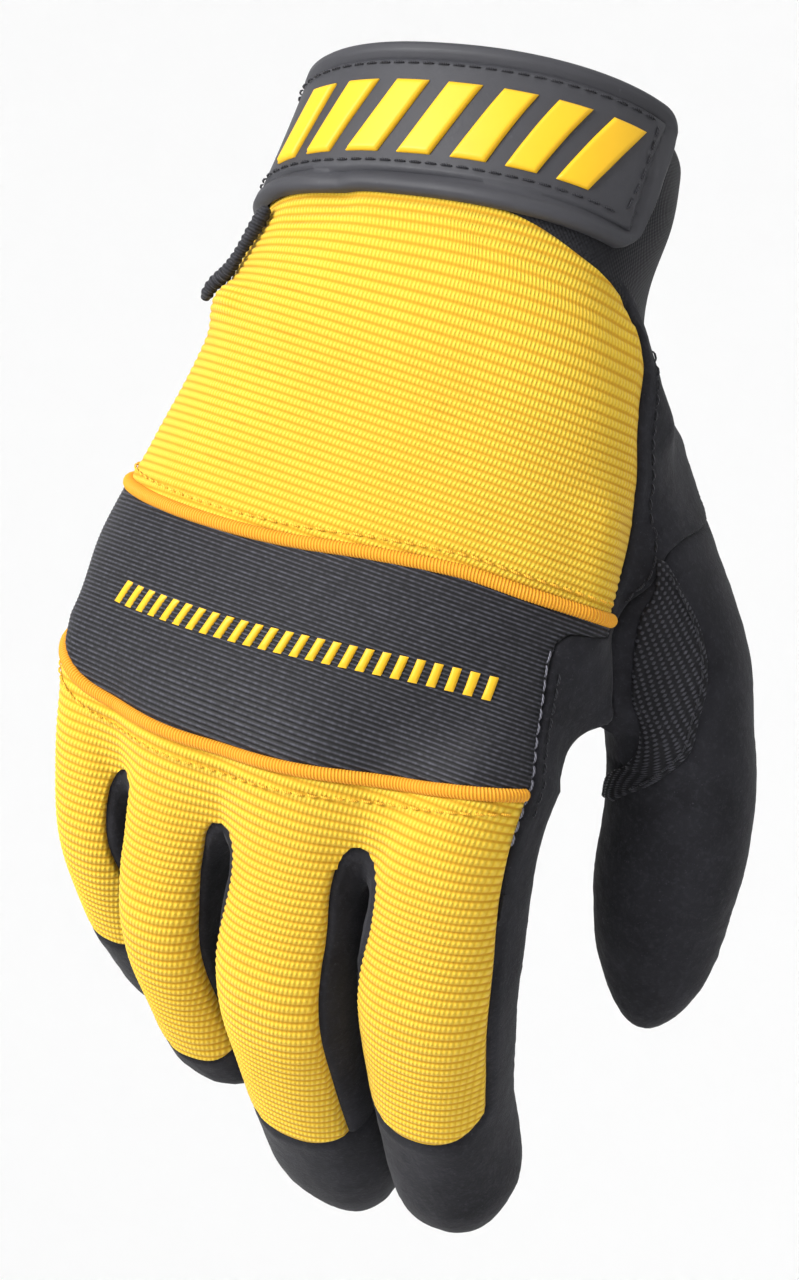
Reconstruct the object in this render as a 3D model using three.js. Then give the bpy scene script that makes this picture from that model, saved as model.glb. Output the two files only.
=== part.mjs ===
// A right-hand work glove in the shape it has on a hand, in millimetres.
// The wrist opening's centre is the origin, +Z runs up the back of the hand to the wrist,
// -Y is the back of the hand and +X is the thumb's side.
// Every panel is a sheet of its own, cut at its seams and given a wall.

import * as THREE from 'three';

// Driving dimensions
const STRETCH_WALL = 1.3;
const SUEDE_WALL = 1.2;
const CUFF_WALL = 1.9;
const SEAM_GAP = 0.5;
const PIPING_RADIUS = 1.3;
const PIPING_SINK = -0.3;
const TAB = { left: -1.72, right: 1.432, top: 0.4, bottom: 29.2, lift: 0.6, plate: 2.2, rim: 0.6,
  rimWidth: 3.2, corner: 4, slant: 1, lean: 1.3 };
const STRAP = { from: 3.3, to: 4.26, top: 3.2, bottom: 26, wall: 1.6 };
const BINDING = { from: -1.26, to: -1.4, top: 31, bottom: 52, radius: 1.25, lift: 1.45 };
const PATCH_WALL = 1.1;
const PATCH_LIFT = 1.4;
const PALM_TOP = 34;
const PALM_END = 135.5;
const LITTLE_SEAM = -1.6;
const INDEX_SEAM = 60 * Math.PI / 180;
const INDEX_SEAM_LOW = 76 * Math.PI / 180;

// Sections of the hand, by distance s from the wrist opening towards the fingertips.
// Left and right are half widths, back and palm half depths, power the outline's exponent, arch how
// far the edges drop towards the palm, and pivotL and pivotR the lines that the sides turn about.
const HAND = [
  { s: -4, mid: 0, left: 34.6, right: 35.4, back: 26, palm: 24.5,
    power: 2.2, arch: 0, pivotL: -14, pivotR: 14 },
  { s: 14, mid: 0, left: 36, right: 38.6, back: 24.5, palm: 23.5,
    power: 2.2, arch: 0, pivotL: -14, pivotR: 14 },
  { s: 30, mid: -1, left: 37, right: 38.2, back: 22.5, palm: 22.5,
    power: 2.3, arch: 1, pivotL: -15, pivotR: 15 },
  { s: 45, mid: -1, left: 39.8, right: 43.8, back: 20, palm: 20,
    power: 2.4, arch: 2, pivotL: -18, pivotR: 20 },
  { s: 60, mid: -1, left: 41.8, right: 47.5, back: 18.5, palm: 19,
    power: 2.5, arch: 3.5, pivotL: -22, pivotR: 26 },
  { s: 80, mid: -1, left: 46.4, right: 50.7, back: 18, palm: 18.5,
    power: 2.5, arch: 5, pivotL: -29, pivotR: 33 },
  { s: 100, mid: 0, left: 52.3, right: 50, back: 18, palm: 18,
    power: 2.5, arch: 6.5, pivotL: -36, pivotR: 38.5 },
  { s: 115, mid: 0.5, left: 51.1, right: 45.2, back: 17, palm: 17,
    power: 2.4, arch: 7, pivotL: -40, pivotR: 40.5 },
  { s: 128, mid: 0.5, left: 50, right: 45.6, back: 13.5, palm: 14,
    power: 2.3, arch: 7, pivotL: -40, pivotR: 40.5 },
  { s: 138, mid: 0.5, left: 49, right: 46, back: 8.5, palm: 10,
    power: 2.2, arch: 7, pivotL: -40, pivotR: 40.5 },
  { s: 148, mid: 0.5, left: 47, right: 45, back: 6, palm: 8,
    power: 2.2, arch: 7, pivotL: -40, pivotR: 40.5 },
];

// Where the hand ends between the fingers, across its width
const WEB = [
  { x: -53, s: 136 }, { x: -29, s: 141.5 }, { x: -3.3, s: 143 }, { x: 25.1, s: 139.5 }, { x: 54, s: 134 },
];

// Fingers. x and x2 are the axis at the root and the tip, width and depth are half sizes there,
// tongue is where the stretch fabric ends, middle and end are the joints and their turns. Round the
// middle joint the finger goes aside by bow, up by -rise and wider by belly. round is the tip's
// length in half widths, the corners are how far the stretch fabric's end is rounded, and the seams
// how far round the finger its sides go, as shares of the half width.
const FINGERS = [
  { name: 'little', x: -39.5, x2: -33, y: 5.5, width: 10.8, width2: 9, depth: 12.5, depth2: 9.8,
    tip: 208.5, tongue: 178.5, middle: 154, end: 177, middleTurn: 26, endTurn: 14,
    bow: -0.2, rise: 0, belly: -0.6, round: 1.25, cornerLeft: 6.5, cornerRight: 3,
    seamLeft: 0.93, seamRight: 0.93 },
  { name: 'ring', x: -16.6, x2: -11.9, y: 1, width: 12, width2: 10, depth: 13.2, depth2: 10.2,
    tip: 208, tongue: 192, middle: 163, end: 190, middleTurn: 22, endTurn: 19,
    bow: -2.35, rise: -2.5, belly: -1.3, round: 1.25, cornerLeft: 6.5, cornerRight: 2.5,
    seamLeft: 0.93, seamRight: 0.93 },
  { name: 'middle', x: 11, x2: 10.6, y: 0.5, width: 13, width2: 13.8, depth: 13.8, depth2: 11.6,
    tip: 233.4, tongue: 200, middle: 166, end: 194, middleTurn: 22, endTurn: 8,
    bow: -1, rise: -2.5, belly: 0.4, round: 1.7, cornerLeft: 6.5, cornerRight: 2,
    seamLeft: 0.93, seamRight: 0.85 },
  { name: 'index', x: 39.6, x2: 37, y: 3.5, width: 14, width2: 11.4, depth: 14.2, depth2: 12,
    tip: 223.5, tongue: 189.5, middle: 162, end: 186, middleTurn: 20, endTurn: 6,
    bow: 0, rise: 0, belly: 1.6, round: 1.3, cornerLeft: 6.5, cornerRight: 6.5,
    seamLeft: 0.89, seamRight: 0.93 },
];
const FINGER_ROOT = 115;
const FINGER_SQUARE = 2.3;
const JOINT_BUMP = 24;
const JOINT_SPAN = 22;

// Slots between the fingers, seen on the back: midline, start and half width of the gap at the seam
const SLOTS = [
  { x: -28.7, s: 137.5, half: 2.5, palm: 140 },
  { x: -4, s: 138.5, half: 2.9, palm: 141 },
  { x: 25.15, s: 134, half: 3.2, palm: 137.5 },
];
const SLOT_ROUND = 5;

// Turns of the wrist and the knuckles along s, in degrees
const WRIST = { s: 38, span: 30, flex: 17.6, deviate: 11 };
const KNUCKLE = { s: 126, span: 32, flex: 27 };

// The thumb, in level sections at height z: centre, half sizes
const THUMB = [
  { z: -149, x: 69, y: 44.2, width: 11.8, depth: 11 },
  { z: -139, x: 68.6, y: 41.2, width: 13.2, depth: 12.6 },
  { z: -128, x: 67.9, y: 38, width: 13.4, depth: 13.4 },
  { z: -108, x: 67.7, y: 31, width: 14.3, depth: 14.2 },
  { z: -88, x: 61.8, y: 24.8, width: 15.6, depth: 15.4 },
  { z: -77, x: 55.6, y: 21.8, width: 17.6, depth: 16.4 },
  { z: -66, x: 47.4, y: 18.4, width: 18.5, depth: 17 },
  { z: -48, x: 32, y: 14, width: 20, depth: 17 },
  { z: -30, x: 20, y: 10, width: 20, depth: 17 },
];
const THUMB_TIP = -149.2;
const THUMB_ROUND = 30;
const THUMB_FADE = -44;
const THUMB_BLEND = 22;
const THUMB_TOP = 52;
const CROTCH = 101.3;
const CROTCH_TURN = 1.808;
const CROTCH_ANGLE = -125 * Math.PI / 180;

// Seams on the hand's skin. turn runs -1 to 1 over the back, 1 to 2 round the thumb's side,
// 2 to 4 over the palm and -2 to -1 round the little finger's side.
const UPPER_PIPING = [
  { turn: -1.6, s: 86 }, { turn: -1.3, s: 89 }, { turn: -0.85, s: 90.3 }, { turn: -0.23, s: 89.3 },
  { turn: 0.42, s: 85.8 }, { turn: 0.91, s: 83.6 }, { turn: 1.22, s: 83.4 }, { turn: 1.68, s: 82.5 },
];
const LOWER_PIPING = [
  { turn: -1.6, s: 117 }, { turn: -1.19, s: 122.5 }, { turn: -0.94, s: 125.2 }, { turn: -0.56, s: 125.9 },
  { turn: -0.25, s: 125.8 }, { turn: 0.31, s: 124.3 }, { turn: 0.78, s: 121.6 }, { turn: 1.01, s: 120 },
  { turn: 1.33, s: 116.8 },
];
const CUFF_TOP = [
  { turn: -2, s: 1.5 }, { turn: -1.6, s: 0.4 }, { turn: 1.2, s: 0.4 }, { turn: 1.5, s: 2.2 },
  { turn: 1.8, s: 5 }, { turn: 2.2, s: 5.5 }, { turn: 3.2, s: 3 }, { turn: 4, s: 1.5 },
];
const CUFF_BOTTOM = [
  { turn: -2, s: 30 }, { turn: -1.6, s: 25 }, { turn: 0.5, s: 24.6 }, { turn: 1.1, s: 28.3 },
  { turn: 1.4, s: 32 }, { turn: 1.63, s: PALM_TOP }, { turn: 2, s: PALM_TOP }, { turn: 4, s: 30 },
];
const BACK_RIGHT = [
  { s: 31, turn: 1.36 }, { s: 33.5, turn: 1.47 }, { s: 36, turn: 1.52 }, { s: 40, turn: 1.54 },
  { s: 46, turn: 1.545 }, { s: 55, turn: 1.565 },
  { s: 60, turn: 1.572 }, { s: 65, turn: 1.605 }, { s: 75, turn: 1.605 }, { s: 82, turn: 1.6 },
];
const BAND_RIGHT = [
  { s: 85.5, turn: 1.62 }, { s: 87.5, turn: 1.42 }, { s: 90, turn: 1.365 }, { s: 94, turn: 1.35 },
  { s: 104, turn: 1.355 }, { s: 118, turn: 1.333 }, { s: 137, turn: 1.333 },
];
const BAND_ROWS = [0, 0.08, 0.2, 0.4, 0.6, 0.8, 1];

// Both sides of the thumb's hole; above and below it they are one seam between side and palm
const THUMB_BACK = [
  { s: 34, turn: 2 }, { s: THUMB_TOP, turn: 2 }, { s: 56, turn: 1.86 }, { s: 62, turn: 1.72 },
  { s: 66, turn: 1.67 }, { s: 70, turn: 1.653 }, { s: 78, turn: 1.65 }, { s: 82, turn: 1.66 },
  { s: 86, turn: 1.675 }, { s: 90, turn: 1.697 }, { s: 94, turn: 1.715 }, { s: 97, turn: 1.73 },
  { s: 99.5, turn: 1.76 }, { s: CROTCH, turn: CROTCH_TURN }, { s: 112, turn: 1.92 }, { s: 137, turn: 2 },
];
const THUMB_FRONT = [
  { s: 34, turn: 2 }, { s: THUMB_TOP, turn: 2 }, { s: 56, turn: 2.14 }, { s: 62, turn: 2.26 },
  { s: 68, turn: 2.3 },
  { s: 75, turn: 2.2 }, { s: 80, turn: 2.13 }, { s: 84, turn: 2.04 }, { s: 88, turn: 1.985 },
  { s: 92, turn: 1.93 }, { s: 96, turn: 1.885 }, { s: 99.5, turn: 1.85 },
  { s: CROTCH, turn: CROTCH_TURN }, { s: 112, turn: 1.92 }, { s: 137, turn: 2 },
];
const HOLE_LEVELS = [CROTCH, 99.5, 96, 90, 83, 76, 70, 64, 58, THUMB_TOP];
const SIDE_LEVELS = [37.5, 43, 52, 58, 64, 70, 76, 83, 85.5, 87.5, 90, 93, 96, 99.5, CROTCH, 107, 116, 126];
const PALM_LEVELS = [43, 52, 58, 64, 70, 76, 83, 90, 96, 99.5, CROTCH, 107, 116, 126];

// Grip patch on the thumb's root: its two edges as angles about the thumb's line, in degrees
const PATCH = [
  { z: -111, left: -150, right: -125 }, { z: -107, left: -138, right: -95 },
  { z: -103.5, left: -107, right: -77 }, { z: -98, left: -94, right: -58 },
  { z: -92, left: -94, right: -50 }, { z: -85, left: -88, right: -41 },
  { z: -78, left: -77, right: -38 }, { z: -72, left: -62, right: -43 }, { z: -67, left: -56, right: -50 },
];

// Ridges and valleys of the skin, in the hand's straight space, with a Gaussian profile
const FOLDS = [
  { from: [50, 9, 66], to: [47, 14, 94], width: 6, height: -1.7 },
  { from: [49, -1, 66], to: [50, 4, 88], width: 4.5, height: 1.6 },
  { from: [-24, -20, 33], to: [-14, -22, 30], width: 3, height: -1.2 },
  { from: [40, 3, 39], to: [44, 14, 46], width: 4.5, height: 3.2 },
  { from: [-40, -3, 52], to: [-36, -14, 50], width: 3.4, height: 3 },
  { from: [50, 10, 94], to: [51, 17, 99], width: 6, height: 1.8 },
];

const clamp = (v, lo, hi) => Math.min(Math.max(v, lo), hi);
const mix = (a, b, t) => a + (b - a) * t;
const ease = (t) => clamp(t, 0, 1) ** 2 * (3 - 2 * clamp(t, 0, 1));
const radians = (degrees) => degrees * Math.PI / 180;

// A smooth curve through a table's rows: cubic pieces whose slopes are central differences
function curve(rows, from, to) {
  const x = rows.map((r) => r[from]);
  const y = rows.map((r) => r[to]);
  const last = x.length - 1;
  const slope = x.map((_, k) => {
    const a = Math.max(k - 1, 0);
    const b = Math.min(k + 1, last);
    return (y[b] - y[a]) / (x[b] - x[a]);
  });
  return (v) => {
    const u = clamp(v, x[0], x[last]);
    let k = 0;
    while (k < last - 1 && u >= x[k + 1]) k += 1;
    const h = x[k + 1] - x[k];
    const t = (u - x[k]) / h;
    return y[k] * (2 * t ** 3 - 3 * t ** 2 + 1) + y[k + 1] * (3 * t ** 2 - 2 * t ** 3)
      + h * slope[k] * (t ** 3 - 2 * t ** 2 + t) + h * slope[k + 1] * (t ** 3 - t ** 2);
  };
}

// Straight lines between a table's rows
function linear(rows, from, to) {
  return (v) => {
    let k = 1;
    while (k < rows.length - 1 && v > rows[k][from]) k += 1;
    const [a, b] = [rows[k - 1], rows[k]];
    return mix(a[to], b[to], clamp((v - a[from]) / (b[from] - a[from]), 0, 1));
  };
}

const hand = {};
for (const key of Object.keys(HAND[0])) hand[key] = curve(HAND, 's', key);
const thumb = {};
for (const key of Object.keys(THUMB[0])) thumb[key] = curve(THUMB, 'z', key);
const webEnd = curve(WEB, 'x', 's');
const upperPiping = curve(UPPER_PIPING, 'turn', 's');
const lowerPiping = curve(LOWER_PIPING, 'turn', 's');
const cuffTop = curve(CUFF_TOP, 'turn', 's');
const cuffBottom = curve(CUFF_BOTTOM, 'turn', 's');
const backRight = linear(BACK_RIGHT, 's', 'turn');
const bandRight = linear(BAND_RIGHT, 's', 'turn');
const sideLeft = linear([...BACK_RIGHT, ...BAND_RIGHT], 's', 'turn');
const thumbBack = curve(THUMB_BACK, 's', 'turn');
const thumbFront = curve(THUMB_FRONT, 's', 'turn');

// The bent line that the hand and one finger follow, stepped along its length
function makeChain(finger) {
  const rows = [];
  const point = new THREE.Vector3();
  for (let s = -30; s <= 262; s += 1) {
    const wrist = 1 - ease((s - WRIST.s) / WRIST.span + 0.5);
    const flex = radians(-WRIST.flex * wrist
      + KNUCKLE.flex * ease((s - KNUCKLE.s) / KNUCKLE.span + 0.5)
      + finger.middleTurn * ease((s - finger.middle) / JOINT_SPAN + 0.5)
      + finger.endTurn * ease((s - finger.end) / JOINT_SPAN + 0.5));
    const turn = radians(WRIST.deviate * wrist);
    const along = new THREE.Vector3(
      Math.sin(turn) * Math.cos(flex), Math.sin(flex), -Math.cos(turn) * Math.cos(flex));
    const across = new THREE.Vector3(Math.cos(turn), 0, Math.sin(turn));
    const palmar = new THREE.Vector3().crossVectors(across, along);
    if (rows.length) {
      const before = rows[rows.length - 1].along;
      point.addScaledVector(before, 0.5).addScaledVector(along, 0.5);
    }
    rows.push({ s, point: point.clone(), along, across, palmar });
  }
  return rows;
}

const chains = FINGERS.map(makeChain);
const opening = chains[0].find((r) => r.s === 0).point.clone();
for (const rows of chains) rows.forEach((r) => r.point.sub(opening));

// Carries a point (x across, y towards the palm, s along) from the straight space into the pose
function place(p, finger = 0) {
  const rows = chains[finger];
  const f = clamp(p.z - rows[0].s, 0, rows.length - 1.001);
  const k = Math.floor(f);
  const t = f - k;
  const a = rows[k];
  const b = rows[k + 1];
  return new THREE.Vector3().lerpVectors(a.point, b.point, t)
    .addScaledVector(new THREE.Vector3().lerpVectors(a.across, b.across, t), p.x)
    .addScaledVector(new THREE.Vector3().lerpVectors(a.palmar, b.palmar, t), p.y);
}

// Distance to a superellipse with four half sizes, along the ray from its centre
function outline(dx, dy, left, right, dorsal, palmar, square) {
  const w = dx < 0 ? left : right;
  const h = dy < 0 ? dorsal : palmar;
  const r = (Math.abs(dx / w) ** square + Math.abs(dy / h) ** square) ** (1 / square);
  return r < 1e-6 ? -Math.min(w, h) : Math.hypot(dx, dy) * (1 - 1 / r);
}

function smoothMin(a, b, k) {
  const h = Math.max(k - Math.abs(a - b), 0) / k;
  return Math.min(a, b) - h * h * k / 4;
}

function archDrop(x, s) {
  const dx = x - hand.mid(s);
  const w = dx < 0 ? hand.left(s) : hand.right(s);
  return hand.arch(s) * Math.min(Math.abs(dx / w), 1.25) ** 2;
}

function handBody(p) {
  const s = p.z;
  const d = outline(p.x - hand.mid(s), p.y - archDrop(p.x, s), hand.left(s), hand.right(s),
    hand.back(s), hand.palm(s), hand.power(s));
  return -smoothMin(-d, webEnd(p.x) - s, 8);
}

// Centre and half sizes of a finger at s; they shrink to nothing over the round tip
function fingerSize(f, s) {
  const t = clamp((s - FINGER_ROOT) / (f.tip - FINGER_ROOT), -0.3, 1);
  const down = Math.max(t, 0);
  const bump = Math.exp(-(((s - f.middle) / JOINT_BUMP) ** 2));
  const length = f.round * f.width2;
  const e = clamp((s - f.tip + length) / length, 0, 1);
  const cap = (1 - e ** 2.1) ** (1 / 2.1);
  return { x: mix(f.x, f.x2, down) + f.bow * bump, y: f.y * (1 - 0.5 * down) + f.rise * bump,
    width: (mix(f.width, f.width2, t) + f.belly * bump) * cap, depth: mix(f.depth, f.depth2, t) * cap };
}

function fingerDistance(f, p) {
  const c = fingerSize(f, p.z);
  const a = Math.max(c.width, 0.05);
  const b = Math.max(c.depth, 0.05);
  return outline(p.x - c.x, p.y - c.y, a, a, b, b, FINGER_SQUARE) + 0.4 * Math.max(FINGER_ROOT - p.z, 0);
}

function thumbSize(z) {
  const e = clamp((THUMB_TIP + THUMB_ROUND - z) / THUMB_ROUND, 0, 1);
  const cap = Math.sqrt(1 - e * e);
  return { x: thumb.x(z), y: thumb.y(z), width: thumb.width(z) * cap, depth: thumb.depth(z) * cap };
}

function thumbDistance(q) {
  const c = thumbSize(q.z);
  const a = Math.max(c.width, 0.05);
  const b = Math.max(c.depth, 0.05);
  return outline(q.x - c.x, q.y - c.y, a, a, b, b, 2.1) + 0.6 * Math.max(q.z - THUMB_FADE, 0);
}

const folds = FOLDS.map((f) => ({ line: new THREE.Line3(new THREE.Vector3(...f.from),
  new THREE.Vector3(...f.to)), width: f.width, height: f.height }));
function foldHeight(p) {
  let sum = 0;
  const near = new THREE.Vector3();
  for (const f of folds) {
    f.line.closestPointToPoint(p, true, near);
    sum += f.height * Math.exp(-near.distanceToSquared(p) / (f.width * f.width));
  }
  return sum;
}

function fingersField(p) {
  const d = Math.min(...FINGERS.map((f) => fingerDistance(f, p)));
  return smoothMin(handBody(p), d, 7);
}

// The hand with one finger, where its neighbours no longer touch it
const FREE_FROM = 152;
const OWN_FROM = 165;
const fingerFields = FINGERS.map((f) => (p) => (p.z < FREE_FROM ? fingersField(p)
  : smoothMin(handBody(p), fingerDistance(f, p), 7)));

// The whole glove's skin is where this is zero; it is negative inside
function skin(p) {
  if (p.z > 112) return fingersField(p);
  return smoothMin(fingersField(p), thumbDistance(place(p)), THUMB_BLEND) - foldHeight(p);
}

// Where a ray first crosses the skin: steps along it, then bisects the last step
const STEP = 2.5;
function hit(origin, direction, reach, field = skin) {
  const p = origin.clone();
  const start = Math.sign(field(p));
  const side = (far) => Math.sign(field(p.copy(origin).addScaledVector(direction, far)));
  let hi = STEP;
  while (hi < reach && side(hi) === start) hi += STEP;
  let lo = hi - STEP;
  for (let k = 0; k < 20; k += 1) {
    const middle = (lo + hi) / 2;
    if (side(middle) === start) lo = middle;
    else hi = middle;
  }
  return p.copy(origin).addScaledVector(direction, (lo + hi) / 2);
}

// A skin point of the hand at a turn about its section, in the straight space
function handPoint(turn, s, field = skin) {
  const t = turn > 4 ? turn - 6 : turn;
  const left = hand.pivotL(s);
  const right = hand.pivotR(s);
  let x = t > 0 ? right : left;
  let angle = t > 0 ? (t - 1) * Math.PI : (t + 1) * Math.PI;
  if (Math.abs(t) <= 1) {
    x = mix(left, right, (t + 1) / 2);
    angle = 0;
  } else if (t >= 2) {
    x = mix(right, left, (t - 2) / 2);
    angle = Math.PI;
  }
  const origin = new THREE.Vector3(x, archDrop(x, s), s);
  const direction = new THREE.Vector3(Math.sin(angle), -Math.cos(angle), 0);
  return hit(origin, direction, 75, field);
}

// A grid of points: rows of v, columns of u, both from 0 to 1
function grid(rows, columns, point) {
  return Array.from({ length: rows + 1 }, (_, j) => Array.from({ length: columns + 1 },
    (_, i) => point(i / columns, j / rows)));
}

// Carries a skin point into the pose, moved out along the skin's normal. Its at is a place in the
// straight space of its finger, or in the pose itself where finger is null.
const NORMAL_STEP = 0.05;
function moved(point, distance) {
  const { at, finger, field } = point;
  let normal = point.normal;
  if (!normal) {
    const slope = (axis) => {
      const step = new THREE.Vector3().setComponent(axis, NORMAL_STEP);
      return field(at.clone().add(step)) - field(at.clone().sub(step));
    };
    normal = new THREE.Vector3(slope(0), slope(1), slope(2)).normalize();
    point.normal = normal;
  }
  const out = at.clone().addScaledVector(normal, distance);
  return finger === null ? out : place(out, finger);
}
const onHand = (at) => ({ at, finger: 0, field: skin });

// A panel of the hand between four seams, in turn and s; rows are shares of the way down it
const evenly = (count) => Array.from({ length: count + 1 }, (_, k) => k / count);
function handPanel(rows, columns, left, right, top, bottom, spread = (u) => u) {
  return grid(rows.length - 1, columns, (column, row) => {
    const u = spread(column);
    const v = rows[Math.round(row * (rows.length - 1))];
    let s = mix(top(mix(left(60), right(60), u)), bottom(mix(left(110), right(110), u)), v);
    let turn = 0;
    for (let k = 0; k < 4; k += 1) {
      turn = mix(left(s), right(s), u);
      s = mix(top(turn), bottom(turn), v);
    }
    return onHand(handPoint(turn, s));
  });
}

// A panel whose rows lie at given levels between its top and its bottom
function levelPanel(levels, columns, left, right, top, bottom) {
  return grid(levels.length + 1, columns, (u, row) => {
    const j = Math.round(row * (levels.length + 1));
    let s = j > levels.length ? bottom : levels[j - 1];
    let turn = mix(left(s ?? 34), right(s ?? 34), u);
    if (j === 0) s = top(turn);
    turn = mix(left(s), right(s), u);
    return onHand(handPoint(turn, s));
  });
}

// Joins grids of skin points into one closed body: an outer and an inner copy of the sheet at two
// distances from the skin, and walls at the sheet's edges. Points of one place are one vertex.
const SAME_PLACE = 5e-3;
function sheet(grids, wall, lift = 0, rise = () => 0) {
  const outer = [];
  const inner = [];
  const faces = [];
  const vertex = (point, height) => {
    const p = moved(point, lift + height);
    let k = outer.findIndex((q) => q.distanceToSquared(p) < SAME_PLACE * SAME_PLACE);
    if (k < 0) {
      k = outer.push(p) - 1;
      inner.push(moved(point, lift - wall));
    }
    return k;
  };
  const face = (a, b, c) => {
    if (a !== b && b !== c && c !== a) faces.push([a, b, c]);
  };
  for (const g of grids) {
    const columns = g[0].length - 1;
    const rows = g.length - 1;
    const index = g.map((row, j) => row.map((point, i) => vertex(point, rise(i / columns, j / rows))));
    for (let j = 0; j + 1 < g.length; j += 1) {
      for (let i = 0; i < columns; i += 1) {
        face(index[j][i], index[j + 1][i], index[j][i + 1]);
        face(index[j][i + 1], index[j + 1][i], index[j + 1][i + 1]);
      }
    }
  }
  const count = outer.length;
  const edges = new Set(faces.flatMap(([a, b, c]) => [`${a},${b}`, `${b},${c}`, `${c},${a}`]));
  const all = faces.flat();
  for (const [a, b, c] of faces) all.push(count + a, count + c, count + b);
  for (const edge of edges) {
    const [a, b] = edge.split(',').map(Number);
    if (!edges.has(`${b},${a}`)) all.push(b, a, count + a, b, count + a, count + b);
  }
  return meshOf([...outer, ...inner], all);
}

function meshOf(points, index) {
  const geometry = new THREE.BufferGeometry();
  geometry.setAttribute('position', new THREE.Float32BufferAttribute(points.flatMap((p) => p.toArray()), 3));
  geometry.setIndex(index);
  return geometry;
}

// A round cord along points, closed at both ends
function cord(points, radius, sides = 6) {
  const steps = points.length - 1;
  const frames = new THREE.CatmullRomCurve3(points).computeFrenetFrames(steps, false);
  const ring = [];
  const index = [];
  points.forEach((p, k) => {
    for (let j = 0; j < sides; j += 1) {
      const a = j / sides * 2 * Math.PI;
      ring.push(p.clone().addScaledVector(frames.normals[k], radius * Math.cos(a))
        .addScaledVector(frames.binormals[k], radius * Math.sin(a)));
    }
  });
  const first = ring.length;
  for (let j = 0; j < sides; j += 1) {
    const n = (j + 1) % sides;
    for (let k = 0; k < steps; k += 1) {
      const a = k * sides;
      const b = a + sides;
      index.push(a + j, a + n, b + j, a + n, b + n, b + j);
    }
    index.push(first, n, j, first + 1, steps * sides + j, steps * sides + n);
  }
  return meshOf([...ring, points[0], points[steps]], index);
}

// How far the rays of a finger's charts have gone over from the hand's to the finger's own centre
const OWN_CENTRE = 22;
const ownCentre = (s, from) => ease((s - from) / OWN_CENTRE);

// A point on a finger's skin at (x, s), on its back (face -1) or palm side (face 1)
function fingerPoint(i, x, face, s, slot) {
  const f = FINGERS[i];
  const c = fingerSize(f, s);
  const k = clamp((x - c.x) / c.width, -1, 1);
  const depth = c.depth * (1 - Math.abs(k) ** FINGER_SQUARE) ** (1 / FINGER_SQUARE);
  const q = ownCentre(s, slot);
  const origin = new THREE.Vector3(mix(x, c.x, q), mix(archDrop(x, s), c.y, q), s);
  const aim = new THREE.Vector3(x - c.x, face * depth, 0).normalize();
  aim.lerp(new THREE.Vector3(0, face, 0), 1 - q).normalize();
  const field = fingerFields[i];
  return { at: hit(origin, aim, 30, field), finger: i, field };
}

// A point on a finger's skin at an angle about its axis, 0 on the back and positive to the thumb
function fingerTurn(i, angle, s) {
  const c = fingerSize(FINGERS[i], s);
  const e = 2 / FINGER_SQUARE;
  const own = new THREE.Vector3(
    c.width * Math.sign(Math.sin(angle)) * Math.abs(Math.sin(angle)) ** e,
    -c.depth * Math.sign(Math.cos(angle)) * Math.abs(Math.cos(angle)) ** e, 0);
  const field = fingerFields[i];
  const centre = new THREE.Vector3(c.x, c.y, s);
  if (own.length() < 0.5) return { at: centre, finger: i, field, normal: new THREE.Vector3(0, 0, 1) };
  if (s > OWN_FROM) return { at: centre.add(own), finger: i, field };
  const q = ownCentre(s, PALM_END);
  const pivot = i === 0 ? hand.pivotL(s) : hand.pivotR(s);
  const origin = new THREE.Vector3(pivot, archDrop(pivot, s), s).lerp(centre, q);
  const level = new THREE.Vector3(Math.sin(angle), -Math.cos(angle), 0);
  const aim = own.normalize().lerp(level, 1 - q).normalize();
  return { at: hit(origin, aim, 40, field), finger: i, field };
}

// Half the gap between two seams at a slot: a round start, then parallel
const slotHalf = (slot, from, s) => {
  const rest = 1 - clamp((s - from) / SLOT_ROUND, 0, 1);
  return slot.half * Math.sqrt(1 - rest ** 2);
};

// Furthest that such a seam lies out on its finger, as a share of the finger's half width
const SEAM_RATIO = 0.93;
const SLOT_RATIO = 1.3;
const SEAM_FAR = 14;
const SEAM_ROUND = 20;

// x of the seam beside slot j, on its left (-1) or right (+1); further down it keeps to the finger
function seamX(j, side, s, from) {
  const slot = SLOTS[j];
  const f = FINGERS[side < 0 ? j : j + 1];
  const keep = (x, size, limit) => clamp((x - size.x) / size.width, -limit, limit);
  const below = ease((s - from) / SLOT_ROUND);
  const c = fingerSize(f, Math.min(s, f.tongue));
  const near = keep(slot.x + side * slotHalf(slot, from, s), c, mix(SLOT_RATIO, SEAM_RATIO, below));
  const open = keep(slot.x + side * slot.half, fingerSize(f, from + SEAM_FAR), SEAM_RATIO);
  const rest = -side * (side > 0 ? f.seamLeft : f.seamRight);
  const far = mix(open, rest, ease((s - from - SEAM_FAR) / SEAM_ROUND));
  return c.x + mix(near, far, ease((s - from) / SEAM_FAR)) * c.width;
}

// Rows down a finger: above the slot, round its start, then down to the end of the tongue
const ROWS_ABOVE = 2;
const ROUND_ROWS = [0.12, 0.5, 1];
const ROWS_BELOW = 8;
const ROWS = ROWS_ABOVE + ROUND_ROWS.length + ROWS_BELOW;
const ROWS_SLOT = ROWS - ROWS_ABOVE;
function rowS(row, top, from, end) {
  if (row <= ROWS_ABOVE) return mix(top, from, row / ROWS_ABOVE);
  const k = row - ROWS_ABOVE;
  if (k <= ROUND_ROWS.length) return from + SLOT_ROUND * ROUND_ROWS[k - 1];
  return mix(from + SLOT_ROUND, end, (k - ROUND_ROWS.length) / ROWS_BELOW);
}

const TONGUE_CORNER = 6.5;
const tongueEnd = (f, u) => f.tongue - (u < 0 ? f.cornerLeft : f.cornerRight) * Math.abs(u) ** 3;

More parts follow.
